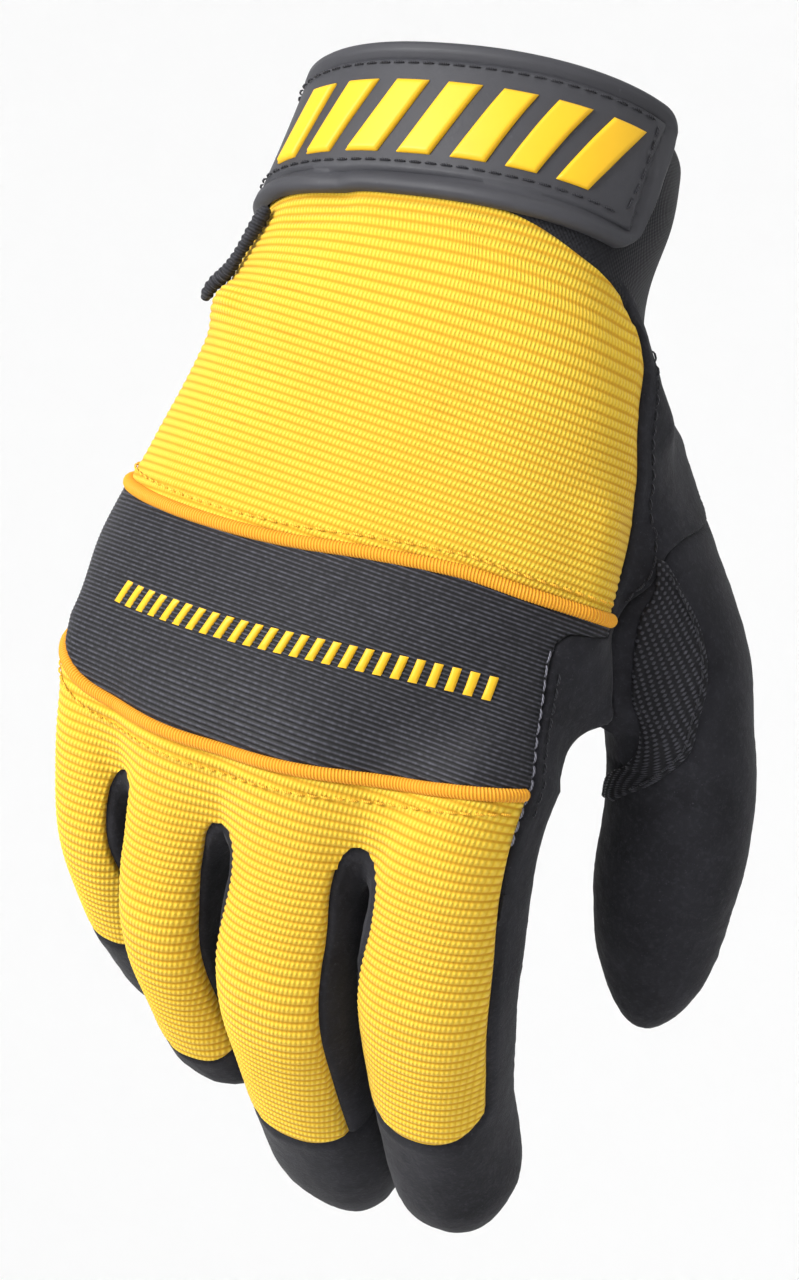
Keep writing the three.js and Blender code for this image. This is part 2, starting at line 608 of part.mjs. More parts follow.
// The seams beside a finger: the angles of an outer one, or which slot bounds it. An outer seam goes
// further round its finger below the knuckle.
const LITTLE_ANGLE = (LITTLE_SEAM + 1) * Math.PI;
const OUTER_TURNS = { from: 136, to: 158 };
const outerAngle = (edge, s) => mix(edge.angle, edge.low,
  ease((s - OUTER_TURNS.from) / (OUTER_TURNS.to - OUTER_TURNS.from)));
function edgeOf(i, side) {
  if (side < 0 && i === 0) return { angle: LITTLE_ANGLE, low: LITTLE_ANGLE, slot: SLOTS[0] };
  if (side > 0 && i === 3) return { angle: INDEX_SEAM, low: INDEX_SEAM_LOW, slot: SLOTS[2] };
  const j = side < 0 ? i - 1 : i;
  return { j, slot: SLOTS[j] };
}

// One finger's strip over its back (face -1) or its palm side (face 1), in u from -1 to 1 towards
// the thumb and s from top to the end of the tongue
function fingerStrip(i, columns, face) {
  const f = FINGERS[i];
  const key = face < 0 ? 's' : 'palm';
  const from = (u) => mix(edgeOf(i, -1).slot[key], edgeOf(i, 1).slot[key], (u + 1) / 2);
  return grid(ROWS, columns, (column, v) => {
    const u = face < 0 ? 2 * column - 1 : 1 - 2 * column;
    const side = u < 0 ? -1 : 1;
    const edge = edgeOf(i, side);
    const row = Math.round(v * ROWS);
    let top = PALM_END + SEAM_GAP / 2;
    if (face < 0) {
      const target = edge.slot.x;
      const across = mix(f.x, target, Math.abs(u));
      const turn = edge.angle ? side * (1 + Math.abs(u * edge.angle) / Math.PI)
        : 2 * (across - hand.pivotL(120)) / (hand.pivotR(120) - hand.pivotL(120)) - 1;
      top = lowerPiping(turn) + PIPING_RADIUS + SEAM_GAP;
    }
    const end = face < 0 ? tongueEnd(f, u) : f.tongue - TONGUE_CORNER;
    const s = rowS(row, top, from(u), end);
    if (edge.angle) {
      const seam = outerAngle(edge, s);
      const angle = face < 0 ? Math.abs(u) * seam
        : side * mix(Math.PI, Math.abs(seam) + SEAM_GAP / f.width, Math.abs(u));
      return fingerTurn(i, angle, s);
    }
    const c = fingerSize(f, s);
    const split = face > 0 ? side * SEAM_GAP / 2 * (1 - ease((s - from(u)) / 4)) : 0;
    const x = mix(c.x, seamX(edge.j, -side, s, edge.slot[key]) - split, Math.abs(u));
    return fingerPoint(i, x, face, s, from(u));
  });
}

// Rays start this far below a slot's top, and this far beyond the middle of the gap
const WEB_CLEAR = 10;
const WEB_AWAY = 1.5;

// The side walls between two fingers: from one finger's tongue up its side, round the web and down
// the next finger. Rays start in the gap, level with the point, and meet the fingers' skin.
const WALL_MARGIN = 0.05;
const GAP_REACH = 14;
function fourchette(j, rows) {
  const slot = SLOTS[j];
  return grid(rows, 2 * ROWS_SLOT, (column, v) => {
    const t = Math.round(column * 2 * ROWS_SLOT) - ROWS_SLOT;
    const side = t < 0 ? -1 : 1;
    const i = side < 0 ? j : j + 1;
    const f = FINGERS[i];
    const seam = (from, face) => {
      const end = face < 0 ? tongueEnd(f, -side) : f.tongue - TONGUE_CORNER;
      const s = rowS(ROWS_ABOVE + Math.abs(t), 0, from, end);
      return fingerPoint(i, seamX(j, side, s, from), face, s, from);
    };
    const w = mix(WALL_MARGIN, 1 - WALL_MARGIN, v);
    const target = seam(slot.s, -1).at.lerp(seam(slot.palm, 1).at, w);
    const s = Math.max(mix(slot.s, slot.palm, w) + WEB_CLEAR, target.z);
    const a = fingerSize(FINGERS[j], s);
    const b = fingerSize(FINGERS[j + 1], s);
    const away = WEB_AWAY * side * clamp((s - OWN_FROM) / 10, 0, 1);
    const origin = new THREE.Vector3((a.x + a.width + b.x - b.width) / 2 - away, target.y, s);
    const field = fingerFields[i];
    return { at: hit(origin, target.sub(origin).normalize(), GAP_REACH, field), finger: i, field };
  });
}

// The closed end of a finger below the tongue; its columns start at the left seam on the back
function fingertip(i, backColumns, frontColumns, sideColumns, rows) {
  const f = FINGERS[i];
  const corner = f.tongue - TONGUE_CORNER;
  // The strips' own angles: even ones to an outer seam, and ones at even widths to an inner seam
  const ringAngle = (u, face) => {
    const side = u < 0 ? -1 : 1;
    const edge = edgeOf(i, side);
    const flat = face < 0 ? 0 : Math.PI;
    if (edge.angle) {
      const seam = Math.abs(edge.low) + (face < 0 ? 0 : SEAM_GAP / f.width);
      return side * mix(flat, seam, Math.abs(u));
    }
    const level = face < 0 ? tongueEnd(f, side) : corner;
    const size = fingerSize(f, level);
    const seam = seamX(edge.j, -side, level, face < 0 ? edge.slot.s : edge.slot.palm);
    const ratio = Math.abs(seam - size.x) / size.width;
    return side * Math.abs(flat - Math.asin((Math.abs(u) * ratio) ** (FINGER_SQUARE / 2)));
  };
  const ring = [];
  for (let k = 0; k <= backColumns; k += 1) {
    const u = 2 * k / backColumns - 1;
    ring.push({ angle: ringAngle(u, -1), s: tongueEnd(f, u) + SEAM_GAP });
  }
  const sideStrip = (side, from, to, start, end) => {
    const columns = edgeOf(i, side).angle ? 1 : sideColumns;
    for (let k = 1; k < columns; k += 1) {
      ring.push({ angle: mix(from, to, k / columns), s: mix(start, end, k / columns) + SEAM_GAP });
    }
  };
  sideStrip(1, ringAngle(1, -1), ringAngle(1, 1), tongueEnd(f, 1), corner);
  for (let k = 0; k <= frontColumns; k += 1) {
    ring.push({ angle: ringAngle(1 - 2 * k / frontColumns, 1), s: corner });
  }
  sideStrip(-1, ringAngle(-1, 1), ringAngle(-1, -1), corner, tongueEnd(f, -1));
  ring.push(ring[0]);
  return grid(rows, ring.length - 1, (column, v) => {
    const start = ring[Math.round(column * (ring.length - 1))];
    return fingerTurn(i, start.angle, mix(start.s, f.tip, Math.sin(v * Math.PI / 2)));
  });
}

// The hand and the thumb's root are straight here, so a level section of one is one of the other
const STRAIGHT_S = 60;
const straightPoint = place(new THREE.Vector3(0, 0, STRAIGHT_S));
const straighten = (q) => new THREE.Vector3(q.x - straightPoint.x, q.y - straightPoint.y,
  STRAIGHT_S - (q.z - straightPoint.z));
const THUMB_ALONE = -104;
const thumbSkin = (q) => (q.z < THUMB_ALONE ? thumbDistance(q) : skin(straighten(q)));

// Narrower than this the thumb has come to its end
const POLE_WIDTH = 0.5;

// A point of the thumb's skin in the level section at z, at an angle about the thumb's line
function thumbPoint(angle, z) {
  const c = thumbSize(z);
  const origin = new THREE.Vector3(c.x, c.y, z);
  const down = new THREE.Vector3(0, 0, -1);
  if (c.width < POLE_WIDTH) return { at: origin, finger: null, field: thumbSkin, normal: down };
  const at = hit(origin, new THREE.Vector3(Math.cos(angle), Math.sin(angle), 0), 60, thumbSkin);
  return { at, finger: null, field: thumbSkin };
}

// The thumb's hole in the hand: from the crotch up its back side and down the palm side
function holePoints() {
  const up = HOLE_LEVELS.slice(0, -1).map((s) => handPoint(thumbBack(s), s));
  const down = HOLE_LEVELS.map((s) => handPoint(thumbFront(s), s)).reverse();
  return [...up, ...down].map((p) => place(p));
}

// The thumb's tube, from its hole down to the tip; its columns spread evenly towards the tip
function thumbTube(rows) {
  const hole = holePoints();
  let before = CROTCH_ANGLE;
  const angles = hole.map((p) => {
    const c = thumbSize(p.z);
    let a = Math.atan2(p.y - c.y, p.x - c.x);
    while (a < before - Math.PI / 4) a += 2 * Math.PI;
    before = a;
    return a;
  });
  const columns = hole.length - 1;
  return grid(rows, columns, (column, v) => {
    const i = Math.round(column * columns);
    if (v === 0) return { at: hole[i].clone(), finger: null, field: thumbSkin };
    const z = mix(hole[i].z, THUMB_TIP, mix(v, Math.sin(v * Math.PI / 2), 0.6));
    const even = CROTCH_ANGLE + column * 2 * Math.PI;
    return thumbPoint(mix(angles[i], even, ease(v / 0.6)), z);
  });
}

const colours = {
  stretch: { color: 0xf0c030, roughness: 0.85, metalness: 0 },
  piping: { color: 0xe0a22a, roughness: 0.6, metalness: 0 },
  band: { color: 0x26262a, roughness: 0.8, metalness: 0 },
  suede: { color: 0x222226, roughness: 0.95, metalness: 0 },
  grip: { color: 0x2a2a2e, roughness: 0.7, metalness: 0 },
  cuff: { color: 0x1c1c20, roughness: 0.75, metalness: 0 },
  rubber: { color: 0x3a3a3e, roughness: 0.55, metalness: 0 },
};

const glove = new THREE.Group();
function add(name, colour, geometry) {
  const mesh = new THREE.Mesh(geometry, new THREE.MeshStandardMaterial(colours[colour]));
  mesh.name = name;
  glove.add(mesh);
}

const shift = (seam, by) => (v) => seam(v) + by;
const always = (value) => () => value;
const halfGap = SEAM_GAP / 2;
const seamTurn = 0.008;
const palmTurn = 0.03;
const bandTurn = 0.025;
const holeTurn = 0.02;
const inHole = (s) => holeTurn * ease((s - THUMB_TOP + 4) / 8) * ease((CROTCH + 6 - s) / 6);

// Millimetres round the wrist at a turn: short flats and long round sides
const WRIST_ARC = [
  { turn: -2, arc: -92 }, { turn: -1, arc: -14 }, { turn: 1, arc: 14 }, { turn: 2, arc: 92 },
  { turn: 4, arc: 120 },
  { turn: 5, arc: 198 },
];
const wristArc = linear(WRIST_ARC, 'turn', 'arc');
const wristTurn = linear(WRIST_ARC, 'arc', 'turn');

// Cuff
const aroundWrist = (u) => (wristTurn(mix(wristArc(-2), wristArc(4), u)) + 2) / 6;
add('cuff', 'cuff', sheet([handPanel(evenly(3), 32, always(-2), always(4), cuffTop,
  shift(cuffBottom, -halfGap), aroundWrist)], CUFF_WALL));

// Back of the hand
const pipingRoom = PIPING_RADIUS + SEAM_GAP;
add('back_panel', 'stretch', sheet([handPanel(evenly(8), 18,
  always(LITTLE_SEAM), shift(backRight, -seamTurn),
  shift(cuffBottom, SEAM_GAP), shift(upperPiping, -pipingRoom))], STRETCH_WALL));
add('knuckle_band', 'band', sheet([handPanel(BAND_ROWS, 18,
  always(LITTLE_SEAM), shift(bandRight, -bandTurn),
  shift(upperPiping, pipingRoom), shift(lowerPiping, -pipingRoom))], STRETCH_WALL));

// Piping along both edges of the band
function pipingPath(seam, from, to, steps) {
  return Array.from({ length: steps + 1 }, (_, k) => {
    const turn = mix(from, to, k / steps);
    return moved(onHand(handPoint(turn, seam(turn))), PIPING_SINK);
  });
}
add('piping_upper', 'piping', cord(pipingPath(upperPiping, LITTLE_SEAM, 1.605, 20), PIPING_RADIUS));
add('piping_lower', 'piping', cord(pipingPath(lowerPiping, LITTLE_SEAM, 1.31, 20), PIPING_RADIUS));

// Stretch panel over the fingers, and the suede between and under them
add('finger_panel', 'stretch', sheet(FINGERS.map((_, i) => fingerStrip(i, 6, -1)), STRETCH_WALL));
SLOTS.forEach((_, j) => {
  const name = `fourchette_${FINGERS[j].name}_${FINGERS[j + 1].name}`;
  add(name, 'suede', sheet([fourchette(j, 4)], SUEDE_WALL));
});
FINGERS.forEach((f, i) => {
  const frontColumns = edgeOf(i, -1).angle || edgeOf(i, 1).angle ? 8 : 6;
  add(`${f.name}_front`, 'suede',
    sheet([fingerStrip(i, frontColumns, 1), fingertip(i, 6, frontColumns, 2, 6)], SUEDE_WALL));
});

// Side of the hand above the thumb, the palm, and the thumb
add('side_panel', 'suede', sheet([levelPanel(SIDE_LEVELS, 4, shift(sideLeft, seamTurn),
  (s) => thumbBack(s) - seamTurn - inHole(s),
  shift(cuffBottom, SEAM_GAP), PALM_END - halfGap)], SUEDE_WALL));
add('palm', 'suede', sheet([levelPanel(PALM_LEVELS, 18, (s) => thumbFront(s) + palmTurn + inHole(s),
  always(6 + LITTLE_SEAM - 2 * seamTurn), shift(cuffBottom, SEAM_GAP), PALM_END - halfGap)], SUEDE_WALL));
add('thumb', 'suede', sheet([thumbTube(11)], SUEDE_WALL));

// Grip patch over the thumb's root
const patchLeft = curve(PATCH, 'z', 'left');
const patchRight = curve(PATCH, 'z', 'right');
add('thumb_grip_patch', 'grip', sheet([grid(9, 6, (u, v) => {
  const z = mix(PATCH[PATCH.length - 1].z, PATCH[0].z, v);
  return thumbPoint(radians(mix(patchLeft(z), patchRight(z), u)), z);
})], PATCH_WALL, PATCH_LIFT + PATCH_WALL));

// Closing tab over the cuff: a plate with round corners and a raised rim
const RIM_STEP = 0.5;
function plateStops(length, edge, inner) {
  const first = [...edge, TAB.rimWidth, TAB.rimWidth + RIM_STEP];
  const from = TAB.rimWidth + RIM_STEP;
  const middle = Array.from({ length: inner }, (_, k) => mix(from, length - from, (k + 1) / (inner + 1)));
  return [...first, ...middle, ...first.map((x) => length - x).reverse()];
}
const tabFrom = wristArc(TAB.left);
const tabLength = wristArc(TAB.right) - tabFrom;
const tabHeight = TAB.bottom - TAB.top;
const tabColumns = plateStops(tabLength, [0, 1.5], 13);
const tabRows = plateStops(tabHeight, [0], 1);
const tabCut = (x) => {
  const inset = clamp((TAB.corner - Math.min(x, tabLength - x)) / TAB.corner, 0, 1);
  return TAB.corner * (1 - Math.sqrt(1 - inset * inset));
};
const stop = (stops, share) => stops[Math.round(share * (stops.length - 1))];
const tabGrid = grid(tabRows.length - 1, tabColumns.length - 1, (u, v) => {
  const x = stop(tabColumns, u);
  const y = mix(tabCut(x), tabHeight - tabCut(x), stop(tabRows, v) / tabHeight);
  const arc = tabFrom + x * (1 - TAB.slant / tabLength * y / tabHeight);
  const s = TAB.top + y - TAB.lean * (x / tabLength) ** 4;
  return onHand(handPoint(wristTurn(arc), s));
});
const tabRise = (u, v) => {
  const x = stop(tabColumns, u);
  const y = stop(tabRows, v);
  return Math.min(x, tabLength - x, y, tabHeight - y) <= TAB.rimWidth ? TAB.rim : 0;
};
add('strap_tab', 'rubber', sheet([tabGrid], TAB.plate, TAB.lift + TAB.plate, tabRise));

// Strap that the tab ends, round the little finger's side to the palm
add('wrist_strap', 'cuff', sheet([grid(1, 12, (u, v) => {
  const arc = mix(wristArc(STRAP.from), wristArc(STRAP.to), u);
  return onHand(handPoint(wristTurn(arc), mix(STRAP.top, STRAP.bottom, v)));
})], STRAP.wall, TAB.lift + STRAP.wall));

// Gathered binding beside the back panel, below the tab
add('side_binding', 'cuff', cord(Array.from({ length: 9 }, (_, k) => {
  const s = mix(BINDING.top, BINDING.bottom, k / 8);
  return moved(onHand(handPoint(mix(BINDING.from, BINDING.to, k / 8), s)), BINDING.lift);
}), BINDING.radius));

export default glove;
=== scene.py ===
"""Dresses the right-hand work glove: knit and suede panels, piping, cuff, rubber tab and stitching.

Lengths in the tables are millimetres in the hand's own straight space: x across, y towards the palm
and s down from the wrist opening. place() bends that space into the worn pose.
"""

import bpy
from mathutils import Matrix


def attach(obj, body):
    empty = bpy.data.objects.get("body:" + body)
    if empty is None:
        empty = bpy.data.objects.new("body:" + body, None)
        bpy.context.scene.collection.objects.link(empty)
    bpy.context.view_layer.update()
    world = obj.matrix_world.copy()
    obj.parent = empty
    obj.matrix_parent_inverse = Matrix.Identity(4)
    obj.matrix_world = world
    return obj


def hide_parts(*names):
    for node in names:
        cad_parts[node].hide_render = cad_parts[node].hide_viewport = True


bl_info = {
    "name": "Work glove",
    "version": (1, 0, 0),
    "blender": (4, 5, 0),
    "location": "View3D > Sidebar > Glove",
    "description": "Builds the cloth, suede, rubber and stitching of a work glove round its solids",
    "category": "Object",
}

import math

import bmesh
import bpy
import numpy as np

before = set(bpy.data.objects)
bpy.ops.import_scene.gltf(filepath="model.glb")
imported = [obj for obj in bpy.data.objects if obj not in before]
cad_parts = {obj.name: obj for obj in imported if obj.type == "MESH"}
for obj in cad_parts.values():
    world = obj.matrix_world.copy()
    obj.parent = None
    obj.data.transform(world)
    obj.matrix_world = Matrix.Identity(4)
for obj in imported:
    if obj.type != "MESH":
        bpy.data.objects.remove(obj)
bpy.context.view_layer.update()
MM = 0.001
PI = math.pi


def table(columns, *rows):
    """A table's named columns, as arrays."""
    return dict(zip(columns.split(), np.array(rows, float).T))


# The hand's sections along s: half widths and half depths, the outline's power, how far the edges
# drop towards the palm, and the lines that the sides turn about
HAND = table(
    "s mid left right back palm power arch pivot_left pivot_right",
    (-4, 0, 34.6, 35.4, 26, 24.5, 2.2, 0, -14, 14),
    (14, 0, 36, 38.6, 24.5, 23.5, 2.2, 0, -14, 14),
    (30, -1, 37, 38.2, 22.5, 22.5, 2.3, 1, -15, 15),
    (45, -1, 39.8, 43.8, 20, 20, 2.4, 2, -18, 20),
    (60, -1, 41.8, 47.5, 18.5, 19, 2.5, 3.5, -22, 26),
    (80, -1, 46.4, 50.7, 18, 18.5, 2.5, 5, -29, 33),
    (100, 0, 52.3, 50, 18, 18, 2.5, 6.5, -36, 38.5),
    (115, 0.5, 51.1, 45.2, 17, 17, 2.4, 7, -40, 40.5),
    (128, 0.5, 50, 45.6, 13.5, 14, 2.3, 7, -40, 40.5),
    (138, 0.5, 49, 46, 8.5, 10, 2.2, 7, -40, 40.5),
    (148, 0.5, 47, 45, 6, 8, 2.2, 7, -40, 40.5),
)
ARCH_REACH = 1.25
WEB_BLEND = 8.0
WEB = table("x s", (-53, 136), (-29, 141.5), (-3.3, 143), (25.1, 139.5), (54, 134))
FINGER_COLUMNS = ("x x2 y width width2 depth depth2 tip tongue middle end middle_turn end_turn"
                  " bow rise belly round corner_left corner_right seam_left seam_right")
FINGER_NAMES = ("little", "ring", "middle", "index")
FINGERS = table(
    FINGER_COLUMNS,
    (-39.5, -33, 5.5, 10.8, 9, 12.5, 9.8, 208.5, 178.5, 154, 177, 26, 14,
     -0.2, 0, -0.6, 1.25, 6.5, 3, 0.93, 0.93),
    (-16.6, -11.9, 1, 12, 10, 13.2, 10.2, 208, 192, 163, 190, 22, 19,
     -2.35, -2.5, -1.3, 1.25, 6.5, 2.5, 0.93, 0.93),
    (11, 10.6, 0.5, 13, 13.8, 13.8, 11.6, 233.4, 200, 166, 194, 22, 8,
     -1, -2.5, 0.4, 1.7, 6.5, 2, 0.93, 0.85),
    (39.6, 37, 3.5, 14, 11.4, 14.2, 12, 223.5, 189.5, 162, 186, 20, 6,
     0, 0, 1.6, 1.3, 6.5, 6.5, 0.89, 0.93),
)
FINGER_ROOT = 115.0
FINGER_ABOVE = -0.3
FINGER_SLOPE = 0.4
FINGER_BLEND = 7.0
FINGER_POWER = 2.3
FINGERTIP_POWER = 2.1
JOINT_BUMP = 24.0
JOINT_SPAN = 22.0
SLOTS = table("x s half palm", (-28.7, 137.5, 2.5, 140), (-4, 138.5, 2.9, 141), (25.15, 134, 3.2, 137.5))
SLOT_ROUND = 5.0
WRIST = {"s": 38.0, "span": 30.0, "flex": 17.6, "deviate": 11.0}
KNUCKLE = {"s": 126.0, "span": 32.0, "flex": 27.0}

# The thumb in level sections at height z, in the worn pose
THUMB = table(
    "z x y width depth",
    (-149, 69, 44.2, 11.8, 11),
    (-139, 68.6, 41.2, 13.2, 12.6),
    (-128, 67.9, 38, 13.4, 13.4),
    (-108, 67.7, 31, 14.3, 14.2),
    (-88, 61.8, 24.8, 15.6, 15.4),
    (-77, 55.6, 21.8, 17.6, 16.4),
    (-66, 47.4, 18.4, 18.5, 17),
    (-48, 32, 14, 20, 17),
    (-30, 20, 10, 20, 17),
)
THUMB_TIP = -149.2
THUMB_ROUND = 30.0
THUMB_POWER = 2.1
THUMB_FADE = -44.0
THUMB_SLOPE = 0.6
THUMB_BLEND = 22.0
THUMB_TOP = 52.0
THUMB_ALONE = -104.0
THUMB_REACH = 112.0
CROTCH = 101.3
CROTCH_TURN = 1.808
CROTCH_ANGLE = math.radians(-125)

# Seams. turn runs -1 to 1 over the back, 1 to 2 round the thumb's side, 2 to 4 over the palm and
# -2 to -1 round the little finger's side.
UPPER_PIPING = table(
    "turn s", (-1.6, 86), (-1.3, 89), (-0.85, 90.3), (-0.23, 89.3), (0.42, 85.8), (0.91, 83.6),
    (1.22, 83.4), (1.68, 82.5))
LOWER_PIPING = table(
    "turn s", (-1.6, 117), (-1.19, 122.5), (-0.94, 125.2), (-0.56, 125.9), (-0.25, 125.8),
    (0.31, 124.3), (0.78, 121.6), (1.01, 120), (1.33, 116.8))
CUFF_BOTTOM = table(
    "turn s", (-2, 30), (-1.6, 25), (0.5, 24.6), (1.1, 28.3), (1.4, 32), (1.63, 34), (2, 34), (4, 30))
BACK_RIGHT = table(
    "s turn", (31, 1.36), (33.5, 1.47), (36, 1.52), (40, 1.54), (46, 1.545), (55, 1.565), (60, 1.572),
    (65, 1.605), (75, 1.605), (82, 1.6))
BAND_RIGHT = table(
    "s turn", (85.5, 1.62), (87.5, 1.42), (90, 1.365), (94, 1.35), (104, 1.355), (118, 1.333), (137, 1.333))
THUMB_BACK = table(
    "s turn", (34, 2), (THUMB_TOP, 2), (56, 1.86), (62, 1.72), (66, 1.67), (70, 1.653), (78, 1.65),
    (82, 1.66), (86, 1.675), (90, 1.697), (94, 1.715), (97, 1.73), (99.5, 1.76), (CROTCH, CROTCH_TURN),
    (112, 1.92), (137, 2))
THUMB_FRONT = table(
    "s turn", (34, 2), (THUMB_TOP, 2), (56, 2.14), (62, 2.26), (68, 2.3), (75, 2.2), (80, 2.13),
    (84, 2.04), (88, 1.985), (92, 1.93), (96, 1.885), (99.5, 1.85), (CROTCH, CROTCH_TURN),
    (112, 1.92), (137, 2))
LITTLE_SEAM = -1.6
INDEX_SEAM = math.radians(60)
INDEX_SEAM_LOW = math.radians(76)
PALM_END = 135.5
CUFF_TOP = table(
    "turn s", (-2, 1.5), (-1.6, 0.4), (1.2, 0.4), (1.5, 2.2), (1.8, 5), (2.2, 5.5), (3.2, 3), (4, 1.5))
PATCH = table(
    "z left right", (-111, -150, -125), (-107, -138, -95), (-103.5, -107, -77), (-98, -94, -58),
    (-92, -94, -50), (-85, -88, -41), (-78, -77, -38), (-72, -62, -43), (-67, -56, -50))
FOLDS = (
    {"start": (50, 9, 66), "end": (47, 14, 94), "width": 6.0, "height": -1.7},
    {"start": (49, -1, 66), "end": (50, 4, 88), "width": 4.5, "height": 1.6},
    {"start": (-24, -20, 33), "end": (-14, -22, 30), "width": 3.0, "height": -1.2},
    {"start": (40, 3, 39), "end": (44, 14, 46), "width": 4.5, "height": 3.2},
    {"start": (-40, -3, 52), "end": (-36, -14, 50), "width": 3.4, "height": 3.0},
    {"start": (50, 10, 94), "end": (51, 17, 99), "width": 6.0, "height": 1.8},
)
WRIST_ARC = table("turn arc", (-2, -92), (-1, -14), (1, 14), (2, 92), (4, 120), (5, 198))
TAB = {"left": -1.72, "right": 1.432, "top": 0.4, "bottom": 29.2, "corner": 4.0, "slant": 1.0, "lean": 1.3}
STRAP = {"start": 3.3, "end": 4.26, "top": 3.2, "bottom": 26.0}
BINDING = {"start": -1.26, "end": -1.4, "top": 31.0, "bottom": 52.0, "radius": 1.25, "lift": 1.45}

STRETCH_WALL = 1.3
SUEDE_WALL = 1.2
CUFF_WALL = 1.9
PIPING_RADIUS = 1.3
PIPING_ROOM = 0.7
PIPING_SINK = -0.3


def mix(a, b, t):
    """The value at a share t of the way from a to b."""
    return a + (b - a) * t


def ease(t):
    """A cubic that rises from 0 to 1 while t does, level at both ends."""
    t = np.clip(t, 0, 1)
    return t * t * (3 - 2 * t)


def smooth(rows, at):
    """All columns of a table at a value: cubic pieces, whose slopes at the rows are central differences."""
    x = rows[at]
    keys = [key for key in rows if key != at]
    y = np.stack([rows[key] for key in keys], 1)
    count = np.arange(len(x))
    before = np.maximum(count - 1, 0)
    after = np.minimum(count + 1, len(x) - 1)
    slope = (y[after] - y[before]) / (x[after] - x[before])[:, None]

    def value(v):
        v = np.clip(v, x[0], x[-1])
        k = np.clip(np.searchsorted(x, v, side="right") - 1, 0, len(x) - 2)
        h = (x[k + 1] - x[k])[..., None]
        t = (v - x[k])[..., None] / h
        out = (y[k] * (2 * t**3 - 3 * t**2 + 1) + y[k + 1] * (3 * t**2 - 2 * t**3)
               + h * slope[k] * (t**3 - 2 * t**2 + t) + h * slope[k + 1] * (t**3 - t**2))
        return dict(zip(keys, np.moveaxis(out, -1, 0)))
    return value


def column(rows, at, key):
    """One column of a table as a smooth function of another."""
    value = smooth({at: rows[at], key: rows[key]}, at)
    return lambda v: value(np.asarray(v, float))[key]


def straight(rows, at, key):
    """One column of a table as straight lines between its rows."""
    return lambda v: np.interp(v, rows[at], rows[key])


hand_size = smooth(HAND, "s")
thumb_column = smooth(THUMB, "z")
web_end = column(WEB, "x", "s")
upper_piping = column(UPPER_PIPING, "turn", "s")
lower_piping = column(LOWER_PIPING, "turn", "s")
cuff_bottom = column(CUFF_BOTTOM, "turn", "s")
cuff_top = column(CUFF_TOP, "turn", "s")
back_right = straight(BACK_RIGHT, "s", "turn")
band_right = straight(BAND_RIGHT, "s", "turn")
SIDE_LEFT = {key: np.concatenate([BACK_RIGHT[key], BAND_RIGHT[key]]) for key in ("s", "turn")}
side_left = straight(SIDE_LEFT, "s", "turn")
thumb_back = column(THUMB_BACK, "s", "turn")
thumb_front = column(THUMB_FRONT, "s", "turn")
wrist_arc = straight(WRIST_ARC, "turn", "arc")
wrist_turn = straight(WRIST_ARC, "arc", "turn")
patch_left = column(PATCH, "z", "left")
patch_right = column(PATCH, "z", "right")


def rows_of(columns):
    """A table's rows, each with its columns' names."""
    return [dict(zip(columns, row)) for row in zip(*columns.values())]


FINGER_ROWS = rows_of(FINGERS)
SLOT_ROWS = rows_of(SLOTS)
CHAIN_START, CHAIN_END = -30, 262


def make_chain(row):
    """The bent line of the hand and one finger: unit directions from the turns at wrist and joints,
    summed along s, with the directions across and towards the palm."""
    s = np.arange(CHAIN_START, CHAIN_END + 1, dtype=float)
    wrist = 1 - ease((s - WRIST["s"]) / WRIST["span"] + 0.5)
    flex = np.radians(-WRIST["flex"] * wrist
                      + KNUCKLE["flex"] * ease((s - KNUCKLE["s"]) / KNUCKLE["span"] + 0.5)
                      + row["middle_turn"] * ease((s - row["middle"]) / JOINT_SPAN + 0.5)
                      + row["end_turn"] * ease((s - row["end"]) / JOINT_SPAN + 0.5))
    turn = np.radians(WRIST["deviate"] * wrist)
    along = np.stack([np.sin(turn) * np.cos(flex), np.sin(flex), -np.cos(turn) * np.cos(flex)], 1)
    across = np.stack([np.cos(turn), 0 * turn, np.sin(turn)], 1)
    steps = 0.5 * (along[1:] + along[:-1])
    point = np.concatenate([np.zeros((1, 3)), np.cumsum(steps, 0)])
    return {"point": point, "across": across, "palmar": np.cross(across, along)}


CHAINS = [make_chain(row) for row in FINGER_ROWS]
OPENING = CHAINS[0]["point"][-CHAIN_START].copy()
for chain in CHAINS:
    chain["point"] -= OPENING


def place(p, i=0):
    """Points of the straight space in the worn pose: their section's centre, plus x across, plus y
    towards the palm."""
    rows = CHAINS[i]
    f = np.clip(p[..., 2] - CHAIN_START, 0, len(rows["point"]) - 1.001)
    k = np.floor(f).astype(int)
    t = (f - k)[..., None]
    centre, across, palmar = (mix(rows[key][k], rows[key][k + 1], t) for key in ("point", "across", "palmar"))
    return centre + across * p[..., 0:1] + palmar * p[..., 1:2]


def outline(dx, dy, left, right, back, palm, power):
    """Distance to a superellipse with four half sizes, along the ray from its centre."""
    w = np.where(dx < 0, left, right)
    h = np.where(dy < 0, back, palm)
    r = (np.abs(dx / w) ** power + np.abs(dy / h) ** power) ** (1 / power)
    return np.where(r < 1e-6, -np.minimum(w, h), np.hypot(dx, dy) * (1 - 1 / np.maximum(r, 1e-6)))


def smooth_min(a, b, k):
    """The smaller of two values, rounded by a parabola where they differ by less than k."""
    h = np.maximum(k - np.abs(a - b), 0) / k
    return np.minimum(a, b) - h * h * k / 4


def arch_drop(x, size):
    """How far a section of the hand drops towards the palm at x: a parabola from its middle."""
    dx = x - size["mid"]
    w = np.where(dx < 0, size["left"], size["right"])
    return size["arch"] * np.minimum(np.abs(dx / w), ARCH_REACH) ** 2


